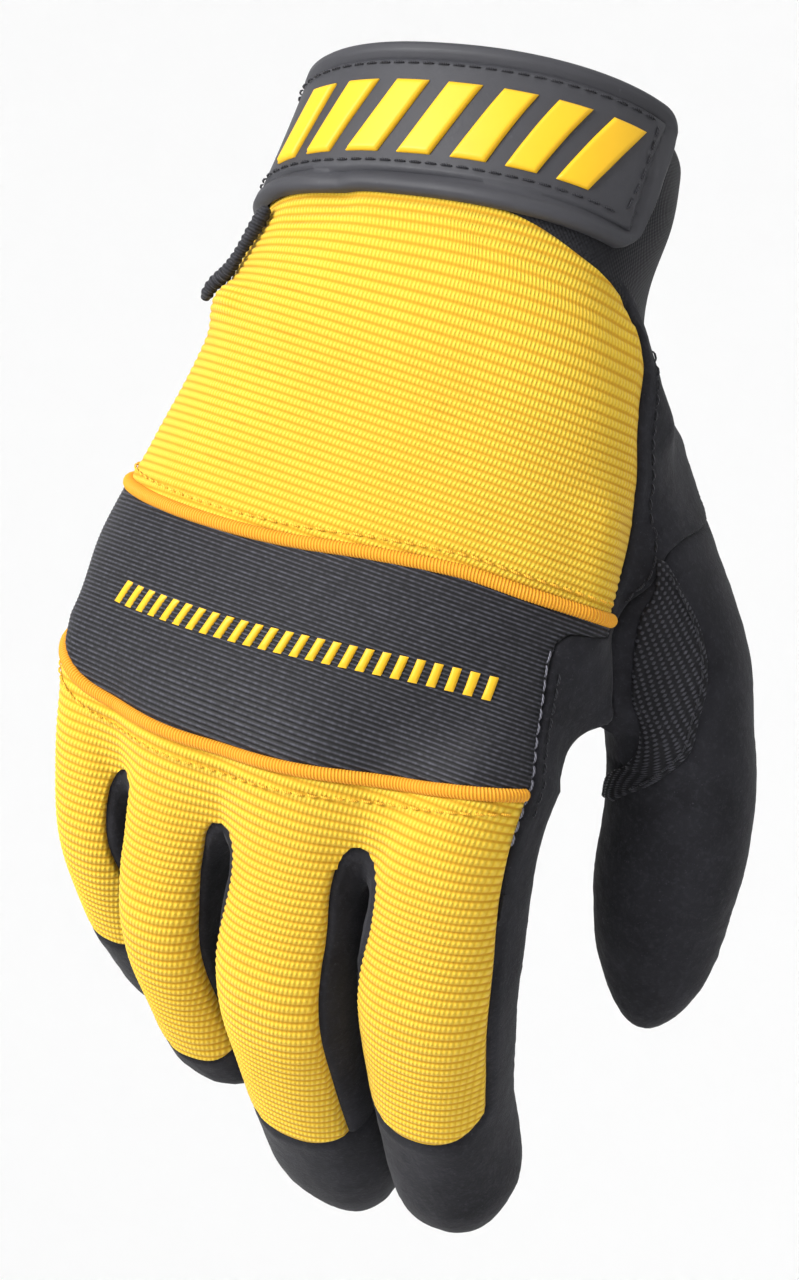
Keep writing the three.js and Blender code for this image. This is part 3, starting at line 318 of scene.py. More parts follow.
def hand_body(p):
    """Distance to the hand without fingers: its sections' outlines, ended at the webs."""
    x, y, s = np.moveaxis(p, -1, 0)
    size = hand_size(s)
    d = outline(x - size["mid"], y - arch_drop(x, size), size["left"], size["right"], size["back"],
                size["palm"], size["power"])
    return -smooth_min(-d, web_end(x) - s, WEB_BLEND)


THIN = 0.05


def finger_size(row, s):
    """Centre and half sizes of a finger at s, shrinking to nothing over the round tip."""
    t = np.clip((s - FINGER_ROOT) / (row["tip"] - FINGER_ROOT), FINGER_ABOVE, 1)
    down = np.maximum(t, 0)
    bump = np.exp(-(((s - row["middle"]) / JOINT_BUMP) ** 2))
    length = row["round"] * row["width2"]
    e = np.clip((s - row["tip"] + length) / length, 0, 1)
    cap = (1 - e**FINGERTIP_POWER) ** (1 / FINGERTIP_POWER)
    return {"x": mix(row["x"], row["x2"], down) + row["bow"] * bump,
            "y": row["y"] * (1 - 0.5 * down) + row["rise"] * bump,
            "width": (mix(row["width"], row["width2"], t) + row["belly"] * bump) * cap,
            "depth": mix(row["depth"], row["depth2"], t) * cap}


def section_distance(x, y, c, power):
    """Distance to a finger's or the thumb's section: a superellipse about its centre."""
    a, b = np.maximum(c["width"], THIN), np.maximum(c["depth"], THIN)
    return outline(x - c["x"], y - c["y"], a, a, b, b, power)


def finger_distance(row, p):
    """Distance to one finger, which fades into the hand above its root."""
    x, y, s = np.moveaxis(p, -1, 0)
    fade = FINGER_SLOPE * np.maximum(FINGER_ROOT - s, 0)
    return section_distance(x, y, finger_size(row, s), FINGER_POWER) + fade


def thumb_size(z):
    """Centre and half sizes of the thumb at z, closed by a quarter of an ellipse at the tip."""
    size = thumb_column(z)
    e = np.clip((THUMB_TIP + THUMB_ROUND - z) / THUMB_ROUND, 0, 1)
    cap = np.sqrt(1 - e * e)
    return {"x": size["x"], "y": size["y"], "width": size["width"] * cap, "depth": size["depth"] * cap}


def thumb_distance(q):
    """Distance to the thumb in the worn pose, which fades into the palm above its root."""
    x, y, z = np.moveaxis(q, -1, 0)
    fade = THUMB_SLOPE * np.maximum(z - THUMB_FADE, 0)
    return section_distance(x, y, thumb_size(z), THUMB_POWER) + fade


def fold_height(p):
    """Ridges and valleys: a Gaussian of the distance to each fold's line."""
    total = 0
    for fold in FOLDS:
        a, b = np.array(fold["start"], float), np.array(fold["end"], float)
        t = np.clip((p - a) @ (b - a) / ((b - a) @ (b - a)), 0, 1)
        away = np.linalg.norm(p - a - t[..., None] * (b - a), axis=-1)
        total = total + fold["height"] * np.exp(-((away / fold["width"]) ** 2))
    return total


def fingers_field(p):
    """The hand blended with its four fingers."""
    d = np.min([finger_distance(row, p) for row in FINGER_ROWS], axis=0)
    return smooth_min(hand_body(p), d, FINGER_BLEND)


FREE_FROM = 152
OWN_FROM = 165


def own_field(i):
    """The hand with all fingers, and below their webs with finger i alone."""
    def field(p):
        every = np.array([finger_distance(row, p) for row in FINGER_ROWS])
        d = np.where(p[..., 2] < FREE_FROM, every.min(0), every[i])
        return smooth_min(hand_body(p), d, FINGER_BLEND)
    return field


OWN_FIELDS = [own_field(i) for i in range(len(FINGER_NAMES))]


def skin_field(p):
    """Negative inside the glove's outer skin, in the straight space."""
    fingers = fingers_field(p)
    whole = smooth_min(fingers, thumb_distance(place(p)), THUMB_BLEND) - fold_height(p)
    return np.where(p[..., 2] > THUMB_REACH, fingers, whole)


STRAIGHT_S = 60.0
STRAIGHT_POINT = place(np.array([0, 0, STRAIGHT_S]))


def thumb_field(q):
    """The same skin, for points of the worn pose round the thumb."""
    p = q - STRAIGHT_POINT
    p = np.stack([p[..., 0], p[..., 1], STRAIGHT_S - p[..., 2]], -1)
    return np.where(q[..., 2] < THUMB_ALONE, thumb_distance(q), skin_field(p))


STEP = 2.5
HALVINGS = 15


def hit(origin, direction, reach, field):
    """Where rays first cross a field's zero: they step along until its sign changes, then halve the step."""
    shape = origin.shape
    o, d = origin.reshape(-1, 3), direction.reshape(-1, 3)
    start = np.sign(field(o))
    high = np.full(len(o), STEP)
    live = np.arange(len(o))
    far = STEP
    while len(live) and far < reach:
        same = np.sign(field(o[live] + d[live] * far)) == start[live]
        live = live[same]
        far += STEP
        high[live] = far
    low = high - STEP
    for _ in range(HALVINGS):
        middle = 0.5 * (low + high)
        same = np.sign(field(o + d * middle[:, None])) == start
        low = np.where(same, middle, low)
        high = np.where(same, high, middle)
    return (o + d * (0.5 * (low + high))[:, None]).reshape(shape)


NORMAL_STEP = 0.05


class Skin:
    """A grid of points on the glove's skin, with the skin's outward directions and the cloth's own
    millimetres across and along it."""

    def __init__(self, at, chart, field, pole=None):
        self.at, self.chart = at, chart
        slope = [field(at + NORMAL_STEP * axis) - field(at - NORMAL_STEP * axis) for axis in np.eye(3)]
        normal = np.stack(slope, -1)
        if pole is not None:
            where, direction = pole
            normal[where] = direction
        self.normal = normal / np.linalg.norm(normal, axis=-1, keepdims=True)
        self.points = self.lifted(0)
        right = np.linalg.norm(np.diff(self.points, axis=1), axis=-1)
        down = np.linalg.norm(np.diff(self.points, axis=0), axis=-1)
        self.across = np.pad(np.cumsum(right, 1), ((0, 0), (1, 0)))
        self.down = np.pad(np.cumsum(down, 0), ((1, 0), (0, 0)))

    def lifted(self, height):
        """The grid in the worn pose, moved out from the skin."""
        out = self.at + self.normal * np.asarray(height, float)[..., None]
        return out if self.chart is None else place(out, self.chart)

    def edge(self, sides="lrtb"):
        """Distance to the nearest of the named edges, along the grid."""
        choices = {"l": self.across, "r": self.across[:, -1:] - self.across,
                   "t": self.down, "b": self.down[-1:] - self.down}
        return np.min([np.broadcast_to(choices[side], self.across.shape) for side in sides], axis=0)


REACH = {"hand": 75.0, "finger": 30.0, "fingertip": 40.0, "web": 14.0, "thumb": 60.0}


def hand_point(turn, s, field=skin_field):
    """A skin point at a turn about its section: rays leave the line between the two pivots."""
    turn, s = np.broadcast_arrays(np.asarray(turn, float), np.asarray(s, float))
    t = np.where(turn > 4, turn - 6, turn)
    size = hand_size(s)
    left, right = size["pivot_left"], size["pivot_right"]
    back = np.abs(t) <= 1
    palm = t >= 2
    x = np.where(back, mix(left, right, (t + 1) / 2),
                 np.where(palm, mix(right, left, (t - 2) / 2), np.where(t > 0, right, left)))
    angle = np.where(back, 0, np.where(palm, PI, np.where(t > 0, (t - 1) * PI, (t + 1) * PI)))
    origin = np.stack([x, arch_drop(x, size), s], -1)
    direction = np.stack([np.sin(angle), -np.cos(angle), 0 * s], -1)
    return hit(origin, direction, REACH["hand"], field)


def level(value):
    """A seam that keeps one value."""
    return lambda t: value + 0 * t


def moved(seam, by):
    """A seam moved by some millimetres."""
    return lambda t: seam(t) + by


FIRST_LEVELS = (60, 110)
SEAM_ROUNDS = 4


def hand_panel(rows, columns, left, right, top, bottom):
    """A panel of the hand between four seams in turn and s: shares between the seams, settled in a few
    rounds because each seam depends on the other coordinate."""
    u, v = np.meshgrid(columns, rows)
    high, low = (mix(left(s), right(s), u) for s in FIRST_LEVELS)
    s = mix(top(high), bottom(low), v)
    for _ in range(SEAM_ROUNDS):
        turn = mix(left(s), right(s), u)
        s = mix(top(turn), bottom(turn), v)
    return Skin(hand_point(turn, s), 0, skin_field), s


OWN_CENTRE = 22
POLE_WIDTH = 0.5


def own_centre(s, start):
    """How far the rays of a finger's grid have gone over from the hand's to the finger's own centre."""
    return ease((s - start) / OWN_CENTRE)


def finger_point(i, x, face, s, start):
    """Skin of finger i at (x, s) on its back (face -1) or palm side (face 1)."""
    c = finger_size(FINGER_ROWS[i], s)
    k = np.clip((x - c["x"]) / c["width"], -1, 1)
    depth = c["depth"] * (1 - np.abs(k) ** FINGER_POWER) ** (1 / FINGER_POWER)
    q = own_centre(s, start)
    origin = np.stack([mix(x, c["x"], q), mix(arch_drop(x, hand_size(s)), c["y"], q), s], -1)
    aim = np.stack([x - c["x"], face * depth, 0 * s], -1)
    aim = aim / np.maximum(np.linalg.norm(aim, axis=-1, keepdims=True), 1e-9)
    aim = mix(aim, np.array([0, face, 0.0]), 1 - q[..., None])
    aim = aim / np.linalg.norm(aim, axis=-1, keepdims=True)
    return hit(origin, aim, REACH["finger"], OWN_FIELDS[i])


def finger_turn(i, angle, s):
    """Skin of finger i at an angle about its axis, 0 on the back and positive to the thumb; also which
    points are the tip's pole."""
    angle, s = np.broadcast_arrays(np.asarray(angle, float), np.asarray(s, float))
    c = finger_size(FINGER_ROWS[i], s)
    e = 2 / FINGER_POWER
    own = np.stack([c["width"] * np.sign(np.sin(angle)) * np.abs(np.sin(angle)) ** e,
                    -c["depth"] * np.sign(np.cos(angle)) * np.abs(np.cos(angle)) ** e, 0 * s], -1)
    centre = np.stack([c["x"], c["y"], s], -1)
    length = np.linalg.norm(own, axis=-1)
    pole = length < POLE_WIDTH
    size = hand_size(s)
    pivot = size["pivot_left"] if i == 0 else size["pivot_right"]
    q = own_centre(s, PALM_END)[..., None]
    origin = mix(np.stack([pivot, arch_drop(pivot, size), s], -1), centre, q)
    aim = mix(own / np.maximum(length, 1e-9)[..., None],
              np.stack([np.sin(angle), -np.cos(angle), 0 * s], -1), 1 - q)
    aim = aim / np.maximum(np.linalg.norm(aim, axis=-1, keepdims=True), 1e-9)
    near = (s <= OWN_FROM) & ~pole
    out = centre + own
    if near.any():
        out[near] = hit(origin[near], aim[near], REACH["fingertip"], OWN_FIELDS[i])
    out[pole] = centre[pole]
    return out, pole


SEAM_RATIO = 0.93
SLOT_RATIO = 1.3
SEAM_FAR = 14
SEAM_ROUND = 20


def slot_half(slot, start, s):
    """Half the gap between two seams at a slot: a round start, then parallel."""
    return slot["half"] * np.sqrt(1 - (1 - np.clip((s - start) / SLOT_ROUND, 0, 1)) ** 2)


def seam_x(j, side, s, start):
    """x of the seam beside slot j; further down it keeps to its finger."""
    slot = SLOT_ROWS[j]
    row = FINGER_ROWS[j if side < 0 else j + 1]

    def keep(x, size, limit):
        """x as a share of the finger's half width, within a limit."""
        return np.clip((x - size["x"]) / size["width"], -limit, limit)
    below = ease((s - start) / SLOT_ROUND)
    c = finger_size(row, np.minimum(s, row["tongue"]))
    near = keep(slot["x"] + side * slot_half(slot, start, s), c, mix(SLOT_RATIO, SEAM_RATIO, below))
    far = keep(slot["x"] + side * slot["half"], finger_size(row, start + SEAM_FAR), SEAM_RATIO)
    rest = -side * row["seam_left" if side > 0 else "seam_right"]
    far = mix(far, rest, ease((s - start - SEAM_FAR) / SEAM_ROUND))
    return c["x"] + mix(near, far, ease((s - start) / SEAM_FAR)) * c["width"]


def edge_of(i, side):
    """The seam beside a finger: the angle of an outer one, or the slot that bounds it."""
    if side < 0 and i == 0:
        return {"angle": (LITTLE_SEAM + 1) * PI, "low": (LITTLE_SEAM + 1) * PI, "slot": SLOT_ROWS[0]}
    if side > 0 and i == 3:
        return {"angle": INDEX_SEAM, "low": INDEX_SEAM_LOW, "slot": SLOT_ROWS[2]}
    j = i - 1 if side < 0 else i
    return {"angle": None, "j": j, "slot": SLOT_ROWS[j]}


TONGUE_CORNER = 6.5
KNUCKLE_LEVEL = 120.0
OUTER_TURNS = (136.0, 158.0)


def outer_angle(edge, s):
    """Angle of an outer seam about its finger, which goes further round below the knuckle."""
    start, end = OUTER_TURNS
    return mix(edge["angle"], edge["low"], ease((s - start) / (end - start)))


def tongue_end(row, u):
    """Where the stretch knit ends at u: round corners, of their own size on each side."""
    return row["tongue"] - np.where(u < 0, row["corner_left"], row["corner_right"]) * np.abs(u) ** 3


def finger_rows(pitch, top, tongue):
    """Shares of the way down a finger strip, in three stretches: above the slot, round its start, below."""
    above = np.linspace(0, 1, max(int(np.ceil(top / pitch)), 2) + 1)
    bend = np.linspace(0, 1, int(np.ceil(SLOT_ROUND / pitch)) + 1)[1:]
    below = np.linspace(0, 1, int(np.ceil(tongue / pitch)) + 1)[1:]
    return np.concatenate([above, 1 + bend, 2 + below])


def row_s(w, top, start, end):
    """s at a share w: 0 to 1 above the slot, 1 to 2 round its start, 2 to 3 down to the strip's end."""
    return np.where(w <= 1, mix(top, start, np.minimum(w, 1)),
                    np.where(w <= 2, start + SLOT_ROUND * np.clip(w - 1, 0, 1),
                             mix(start + SLOT_ROUND, end, np.clip(w - 2, 0, 1))))


def finger_strip(i, rows, columns, face, top_gap):
    """A finger's strip on its back (face -1) or palm side, from u = -1 to 1 towards the thumb."""
    row = FINGER_ROWS[i]
    key = "s" if face < 0 else "palm"
    halves = []
    for side in (-1, 1):
        u, w = np.meshgrid(side * columns, rows)
        edge = edge_of(i, side)
        start = mix(edge_of(i, -1)["slot"][key], edge_of(i, 1)["slot"][key], (u + 1) / 2)
        if face < 0:
            across = mix(row["x"], edge["slot"]["x"], np.abs(u))
            size = hand_size(np.array(KNUCKLE_LEVEL))
            turn = 2 * (across - size["pivot_left"]) / (size["pivot_right"] - size["pivot_left"]) - 1
            if edge["angle"] is not None:
                turn = side * (1 + np.abs(u * edge["angle"]) / PI)
            top = lower_piping(turn) + top_gap
            end = tongue_end(row, u)
        else:
            top = PALM_END + 0 * u
            end = row["tongue"] - TONGUE_CORNER + 0 * u
        s = row_s(w, top, start, end)
        if edge["angle"] is not None:
            seam = outer_angle(edge, s)
            angle = np.abs(u) * seam if face < 0 else side * mix(PI, np.abs(seam), np.abs(u))
            at, _ = finger_turn(i, angle, s)
        else:
            c = finger_size(row, s)
            x = mix(c["x"], seam_x(edge["j"], -side, s, edge["slot"][key]), np.abs(u))
            at = finger_point(i, x, face, s, start)
        halves.append((at, s))
    at = np.concatenate([halves[0][0][:, ::-1], halves[1][0][:, 1:]], axis=1)
    s = np.concatenate([halves[0][1][:, ::-1], halves[1][1][:, 1:]], axis=1)
    if face > 0:
        at, s = at[:, ::-1], s[:, ::-1]
    return Skin(at, i, OWN_FIELDS[i]), s


WEB_CLEAR = 10.0
WEB_AWAY = 1.5
WEB_AWAY_SPAN = 10.0


def fourchette_skin(j, rows, columns):
    """The side walls between two fingers: from one finger's tongue up its side, round the web and down
    the next. Rays start in the gap, level with the point, and meet the fingers' skin."""
    slot = SLOT_ROWS[j]
    parts = []
    for side in (-1, 1):
        i = j if side < 0 else j + 1
        row = FINGER_ROWS[i]
        t, w = np.meshgrid(columns, rows)
        seams = []
        for start, face in ((slot["s"], -1), (slot["palm"], 1)):
            end = tongue_end(row, -side) if face < 0 else row["tongue"] - TONGUE_CORNER
            s = row_s(1 + t, 0.0, start, end)
            seams.append(finger_point(i, seam_x(j, side, s, start), face, s, start))
        target = mix(seams[0], seams[1], w[..., None])
        s = np.maximum(mix(slot["s"], slot["palm"], w) + WEB_CLEAR, target[..., 2])
        a = finger_size(FINGER_ROWS[j], s)
        b = finger_size(FINGER_ROWS[j + 1], s)
        away = WEB_AWAY * side * np.clip((s - OWN_FROM) / WEB_AWAY_SPAN, 0, 1)
        origin = np.stack([(a["x"] + a["width"] + b["x"] - b["width"]) / 2 - away, target[..., 1], s], -1)
        aim = target - origin
        aim = aim / np.linalg.norm(aim, axis=-1, keepdims=True)
        parts.append(Skin(hit(origin, aim, REACH["web"], OWN_FIELDS[i]), i, OWN_FIELDS[i]))
    return parts


SAME_ANGLE = 0.05


def ring_angle(i, u, face):
    """The angle at which a finger strip's column meets the tip."""
    row = FINGER_ROWS[i]
    corner = row["tongue"] - TONGUE_CORNER
    flat = 0.0 if face < 0 else PI
    out = np.zeros_like(u)
    for side in (-1, 1):
        edge = edge_of(i, side)
        here = u < 0 if side < 0 else u >= 0
        if edge["angle"] is not None:
            out[here] = side * mix(flat, abs(edge["low"]), np.abs(u[here]))
            continue
        level = tongue_end(row, side) if face < 0 else corner
        size = finger_size(row, level)
        seam = seam_x(edge["j"], -side, level, edge["slot"]["s" if face < 0 else "palm"])
        ratio = abs(seam - size["x"]) / size["width"]
        out[here] = side * np.abs(flat - np.arcsin((np.abs(u[here]) * ratio) ** (FINGER_POWER / 2)))
    return out


def fingertip_skin(i, rows, back, front, sides):
    """The closed end of a finger below the tongue: a ring of angles and starts, drawn in to the tip."""
    row = FINGER_ROWS[i]
    corner = row["tongue"] - TONGUE_CORNER
    angle = [ring_angle(i, back, -1)]
    start = [tongue_end(row, back)]
    walls = np.linspace(0, 1, sides + 1)[1:-1]
    one = np.array([1.0])
    right = ring_angle(i, one, -1)[0], ring_angle(i, one, 1)[0]
    left = ring_angle(i, -one, 1)[0], ring_angle(i, -one, -1)[0]
    front_angle = ring_angle(i, front[::-1], 1)
    for between, middle, ends in ((right, front_angle, (tongue_end(row, 1), corner)),
                                  (left, None, (corner, tongue_end(row, -1)))):
        if abs(between[1] - between[0]) > SAME_ANGLE:
            angle.append(mix(between[0], between[1], walls))
            start.append(mix(ends[0], ends[1], walls))
        if middle is not None:
            angle.append(middle)
            start.append(corner + 0 * middle)
    angle, start = np.concatenate(angle), np.concatenate(start)
    angle, start = np.append(angle, angle[0]), np.append(start, start[0])
    v = rows[:, None]
    s = mix(start[None], row["tip"], np.sin(v * PI / 2))
    at, pole = finger_turn(i, np.broadcast_to(angle, s.shape), s)
    return Skin(at, i, OWN_FIELDS[i], (pole, (0, 0, 1))), s


def thumb_point(angle, z):
    """Skin of the thumb in the level section at z, at an angle about the thumb's line."""
    angle, z = np.broadcast_arrays(np.asarray(angle, float), np.asarray(z, float))
    c = thumb_size(z)
    origin = np.stack([c["x"], c["y"], z], -1)
    pole = c["width"] < POLE_WIDTH
    direction = np.stack([np.cos(angle), np.sin(angle), 0 * z], -1)
    out = origin.copy()
    out[~pole] = hit(origin[~pole], direction[~pole], REACH["thumb"], thumb_field)
    return out, pole


HOLE_POWER = 1.4
THUMB_ROUNDING = 0.6
THUMB_SPREAD = 0.6


def thumb_hole(count):
    """The thumb's hole in the hand: from the crotch up its back side and down the palm side."""
    share = np.linspace(0, 1, count)
    s = mix(CROTCH, THUMB_TOP, share**HOLE_POWER)
    up = hand_point(thumb_back(s), s)[:-1]
    down = hand_point(thumb_front(s[::-1]), s[::-1])
    return place(np.concatenate([up, down]))


def thumb_tube(rows, count):
    """The thumb from its hole to the tip; its columns spread evenly towards the tip."""
    hole = thumb_hole(count)
    c = thumb_size(hole[:, 2])
    angles = np.unwrap(np.arctan2(hole[:, 1] - c["y"], hole[:, 0] - c["x"]))
    columns = np.linspace(0, 1, len(hole))[None]
    v = rows[:, None]
    z = mix(hole[None, :, 2], THUMB_TIP, mix(v, np.sin(v * PI / 2), THUMB_ROUNDING))
    angle = mix(angles[None], CROTCH_ANGLE + columns * 2 * PI, ease(v / THUMB_SPREAD))
    at, pole = thumb_point(angle, z)
    at[0] = hole
    at[:, -1] = at[:, 0]
    return Skin(at, None, thumb_field, (pole, (0, 0, -1))), at[..., 2]


def noise(p, size, seed):
    """Smooth noise from -1 to 1: random numbers on a cubic lattice, blended with eased weights."""
    q = p / size
    cell = np.floor(q)
    t = ease(q - cell)
    total = np.zeros(p.shape[:-1])
    for corner in np.ndindex(2, 2, 2):
        step = np.array(corner)
        dot = (cell + step) @ np.array([127.1, 311.7, 74.7]) + 19.19 * seed
        value = np.sin(dot) * 43758.5453
        weight = np.prod(np.where(step == 1, t, 1 - t), axis=-1)
        total += weight * (2 * (value - np.floor(value)) - 1)
    return total


def rolled(edge, radius, drop):
    """Height of a turned edge: a quarter round that falls away over the last millimetres."""
    t = np.clip(edge / radius, 0, 1)
    return -drop * (1 - np.sqrt(1 - (1 - t) ** 2))


def pucker(edge, points, seed):
    """Small gathers beside a seam: noise that dies away from the edge."""
    return np.exp(-((edge / 4) ** 2)) * noise(points, 4.5, seed)


def starts_of(sizes):
    """Where each face's corners start, from the faces' sizes."""
    return np.concatenate([[0], np.cumsum(sizes)[:-1]])


def fill(mesh, points, corners, sizes, **layers):
    """Puts vertices, faces and vector layers, all as arrays, into an empty mesh. Faces are given by
    their corners one after another and by their sizes."""
    mesh.vertices.add(len(points))
    mesh.vertices.foreach_set("co", np.ascontiguousarray(points, np.float32).ravel())
    mesh.loops.add(len(corners))
    mesh.loops.foreach_set("vertex_index", np.ascontiguousarray(corners, np.int32))
    mesh.polygons.add(len(sizes))
    mesh.polygons.foreach_set("loop_start", starts_of(sizes).astype(np.int32))
    mesh.update()
    for name, values in layers.items():
        layer = mesh.attributes.new(name, "FLOAT_VECTOR", "POINT")
        layer.data.foreach_set("vector", np.ascontiguousarray(values, np.float32).ravel())


def quads(faces):
    """Quads as their corners and sizes."""
    return faces.ravel(), np.full(len(faces), 4)


def grid_faces(rows, columns, wrap=False):
    """Quads of a grid, whose outside is where row steps crossed with column steps point."""
    index = np.arange(rows * columns).reshape(rows, columns)
    if wrap:
        index = np.concatenate([index, index[:, :1]], axis=1)
    return np.stack([index[:-1, :-1], index[1:, :-1], index[1:, 1:], index[:-1, 1:]], -1).reshape(-1, 4)


WELD = 0.02 * MM


def welded(points, extras, faces):
    """Merges points of one place. Returns points, extras, and faces as corner lists with their sizes."""
    mesh = bpy.data.meshes.new("weld")
    fill(mesh, points, *quads(faces), **extras)
    work = bmesh.new()
    work.from_mesh(mesh)
    bmesh.ops.remove_doubles(work, verts=work.verts, dist=WELD)
    bmesh.ops.triangulate(work, faces=[f for f in work.faces if len(f.verts) > 4])
    work.to_mesh(mesh)
    work.free()
    co = np.empty(len(mesh.vertices) * 3, np.float32)
    mesh.vertices.foreach_get("co", co)
    kept = {}
    for name in extras:
        values = np.empty(len(mesh.vertices) * 3, np.float32)
        mesh.attributes[name].data.foreach_get("vector", values)
        kept[name] = values.reshape(-1, 3)
    corners = np.empty(len(mesh.loops), np.int32)
    mesh.loops.foreach_get("vertex_index", corners)
    start = np.empty(len(mesh.polygons), np.int32)
    mesh.polygons.foreach_get("loop_start", start)
    sizes = np.diff(np.append(start, len(corners)))
    bpy.data.meshes.remove(mesh)
    return co.reshape(-1, 3), kept, corners, sizes


def build(name, points, corners, sizes, cloth, material, sharp=55):
    """An object from points, face corners and the cloth's own coordinates."""
    mesh = bpy.data.meshes.new(name)
    fill(mesh, points, corners, sizes, cloth=cloth)
    mesh.validate()
    mesh.shade_smooth()
    mesh.set_sharp_from_angle(angle=math.radians(sharp))
    mesh.materials.append(material)
    piece = bpy.data.objects.new(name, mesh)
    bpy.context.scene.collection.objects.link(piece)
    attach(piece, "root")
    return piece


def sheet(name, layers, wall, material):
    """One closed body from grids on the skin. A layer is (skin, height, cloth): an outer copy at the
    heights, an inner copy one wall down, and walls along every edge that only one face uses."""
    outer, inner, cloth, faces = [], [], [], []
    count = 0
    for skin, height, own in layers:
        rows, columns = skin.at.shape[:2]
        outer.append(skin.lifted(height).reshape(-1, 3))
        inner.append(skin.lifted(np.minimum(height, 0) * 0.5 - wall).reshape(-1, 3))
        cloth.append(own.reshape(-1, 3))
        faces.append(grid_faces(rows, columns) + count)
        count += rows * columns
    points, kept, corners, sizes = welded(
        np.concatenate(outer) * MM,
        {"inner": np.concatenate(inner) * MM, "cloth": np.concatenate(cloth)}, np.concatenate(faces))
    count = len(points)
    face_of = np.repeat(np.arange(len(sizes)), sizes)
    starts = starts_of(sizes)
    place_in = np.arange(len(corners)) - starts[face_of]
    last = place_in + 1 == sizes[face_of]
    following = corners[np.where(last, starts[face_of], np.arange(len(corners)) + 1) % len(corners)]
    forward = corners.astype(np.int64) * count + following
    backward = following.astype(np.int64) * count + corners
    open_edge = ~np.isin(forward, backward)
    a, b = corners[open_edge], following[open_edge]
    walls = np.stack([b, a, a + count, b + count], 1)
    mirrored = corners[starts[face_of] + sizes[face_of] - 1 - place_in] + count
    everything = np.concatenate([corners, mirrored, walls.ravel()])
    lengths = np.concatenate([sizes, sizes, np.full(len(walls), 4)])
    return build(name, np.concatenate([points, kept["inner"]]), everything, lengths,
                 np.concatenate([kept["cloth"]] * 2), material)


def solid(name, points, faces, cloth, material, sharp=55):
    """A body from closed grids whose poles are collapsed rings."""
    co, kept, corners, sizes = welded(points * MM, {"cloth": cloth}, faces)
    return build(name, co, corners, sizes, kept["cloth"], material, sharp)


def raised_line(skin, lift):
    """A skin of one row as a line of points at a lift, with their outward directions."""
    base = skin.lifted(lift)[0]
    return base, skin.lifted(lift + 1)[0] - base


def seam_line(turn, s, lift=0.1):
    """A line on the hand at a lift, with its outward directions."""
    return raised_line(Skin(hand_point(turn, s)[None], 0, skin_field), lift)


STITCH_RISE = 2.2
INSIDE = 5.0


def sewn(name, lines, length, gap, radius, key, slant=0.0):
    """One piece of all the stitches along some lines."""
    points, faces = stitches(lines, length, gap, radius, STITCH_RISE * radius, slant)
    cloth = np.stack([points[:, 0], points.sum(-1), np.full(len(points), INSIDE)], -1)
    piece = solid(name, points, faces, cloth, material(key), 80)


def cloth_of(skin, along, edge):
    """The cloth's coordinates: millimetres across from the middle column, along it, and from its edge."""
    middle = skin.across[:, skin.across.shape[1] // 2]
    return np.stack([skin.across - middle[:, None], along, edge], -1)


def frames_along(path, up):
    """Unit tangents, sideways and up directions along a path."""
    tangent = np.gradient(path, axis=0)
    tangent = tangent / np.linalg.norm(tangent, axis=-1, keepdims=True)
    side = np.cross(tangent, up)
    side = side / np.linalg.norm(side, axis=-1, keepdims=True)
    return tangent, side, np.cross(side, tangent)


def resample(path, out, step):
    """Points of a path at even lengths, their outward directions, and the lengths."""
    length = np.concatenate([[0], np.cumsum(np.linalg.norm(np.diff(path, axis=0), axis=1))])
    at = np.linspace(0, length[-1], max(int(round(length[-1] / step)), 2) + 1)
    points, ups = (np.stack([np.interp(at, length, values[:, k]) for k in range(3)], 1)
                   for values in (path, out))
    return points, ups, at


def cord_body(name, path, up, radius, relief, step, sides, material):
    """A round cord: rings on the path, their radius given by relief(angle, length), closed by round ends."""
    points, up, length = resample(path, up, step)
    _, side, out = frames_along(points, up)
    angle = np.linspace(0, 2 * PI, sides, endpoint=False)
    from_end = np.minimum(length, length[-1] - length)
    cap = np.sqrt(np.clip(1 - (1 - np.clip(from_end / radius, 0, 1)) ** 2, 0, 1))
    r = radius * relief(angle[None], length[:, None]) * cap[:, None]
    ring = (points[:, None] + side[:, None] * (r * np.cos(angle))[..., None]
            + out[:, None] * (r * np.sin(angle))[..., None])
    cloth = np.stack(np.broadcast_arrays(angle * radius, length[:, None], np.full(r.shape, INSIDE)), -1)
    faces = grid_faces(len(points), sides, wrap=True)
    return solid(name, ring.reshape(-1, 3), faces, cloth.reshape(-1, 3), material, 80)


THREAD_SHARE = np.array([0, 0.06, 0.3, 0.7, 0.94, 1.0])
THREAD_SIZE = np.array([0, 0.75, 1.0, 1.0, 0.75, 0])
THREAD_SIDES = 6
THREAD_STEP = 0.4
THREAD_SINK = 0.25


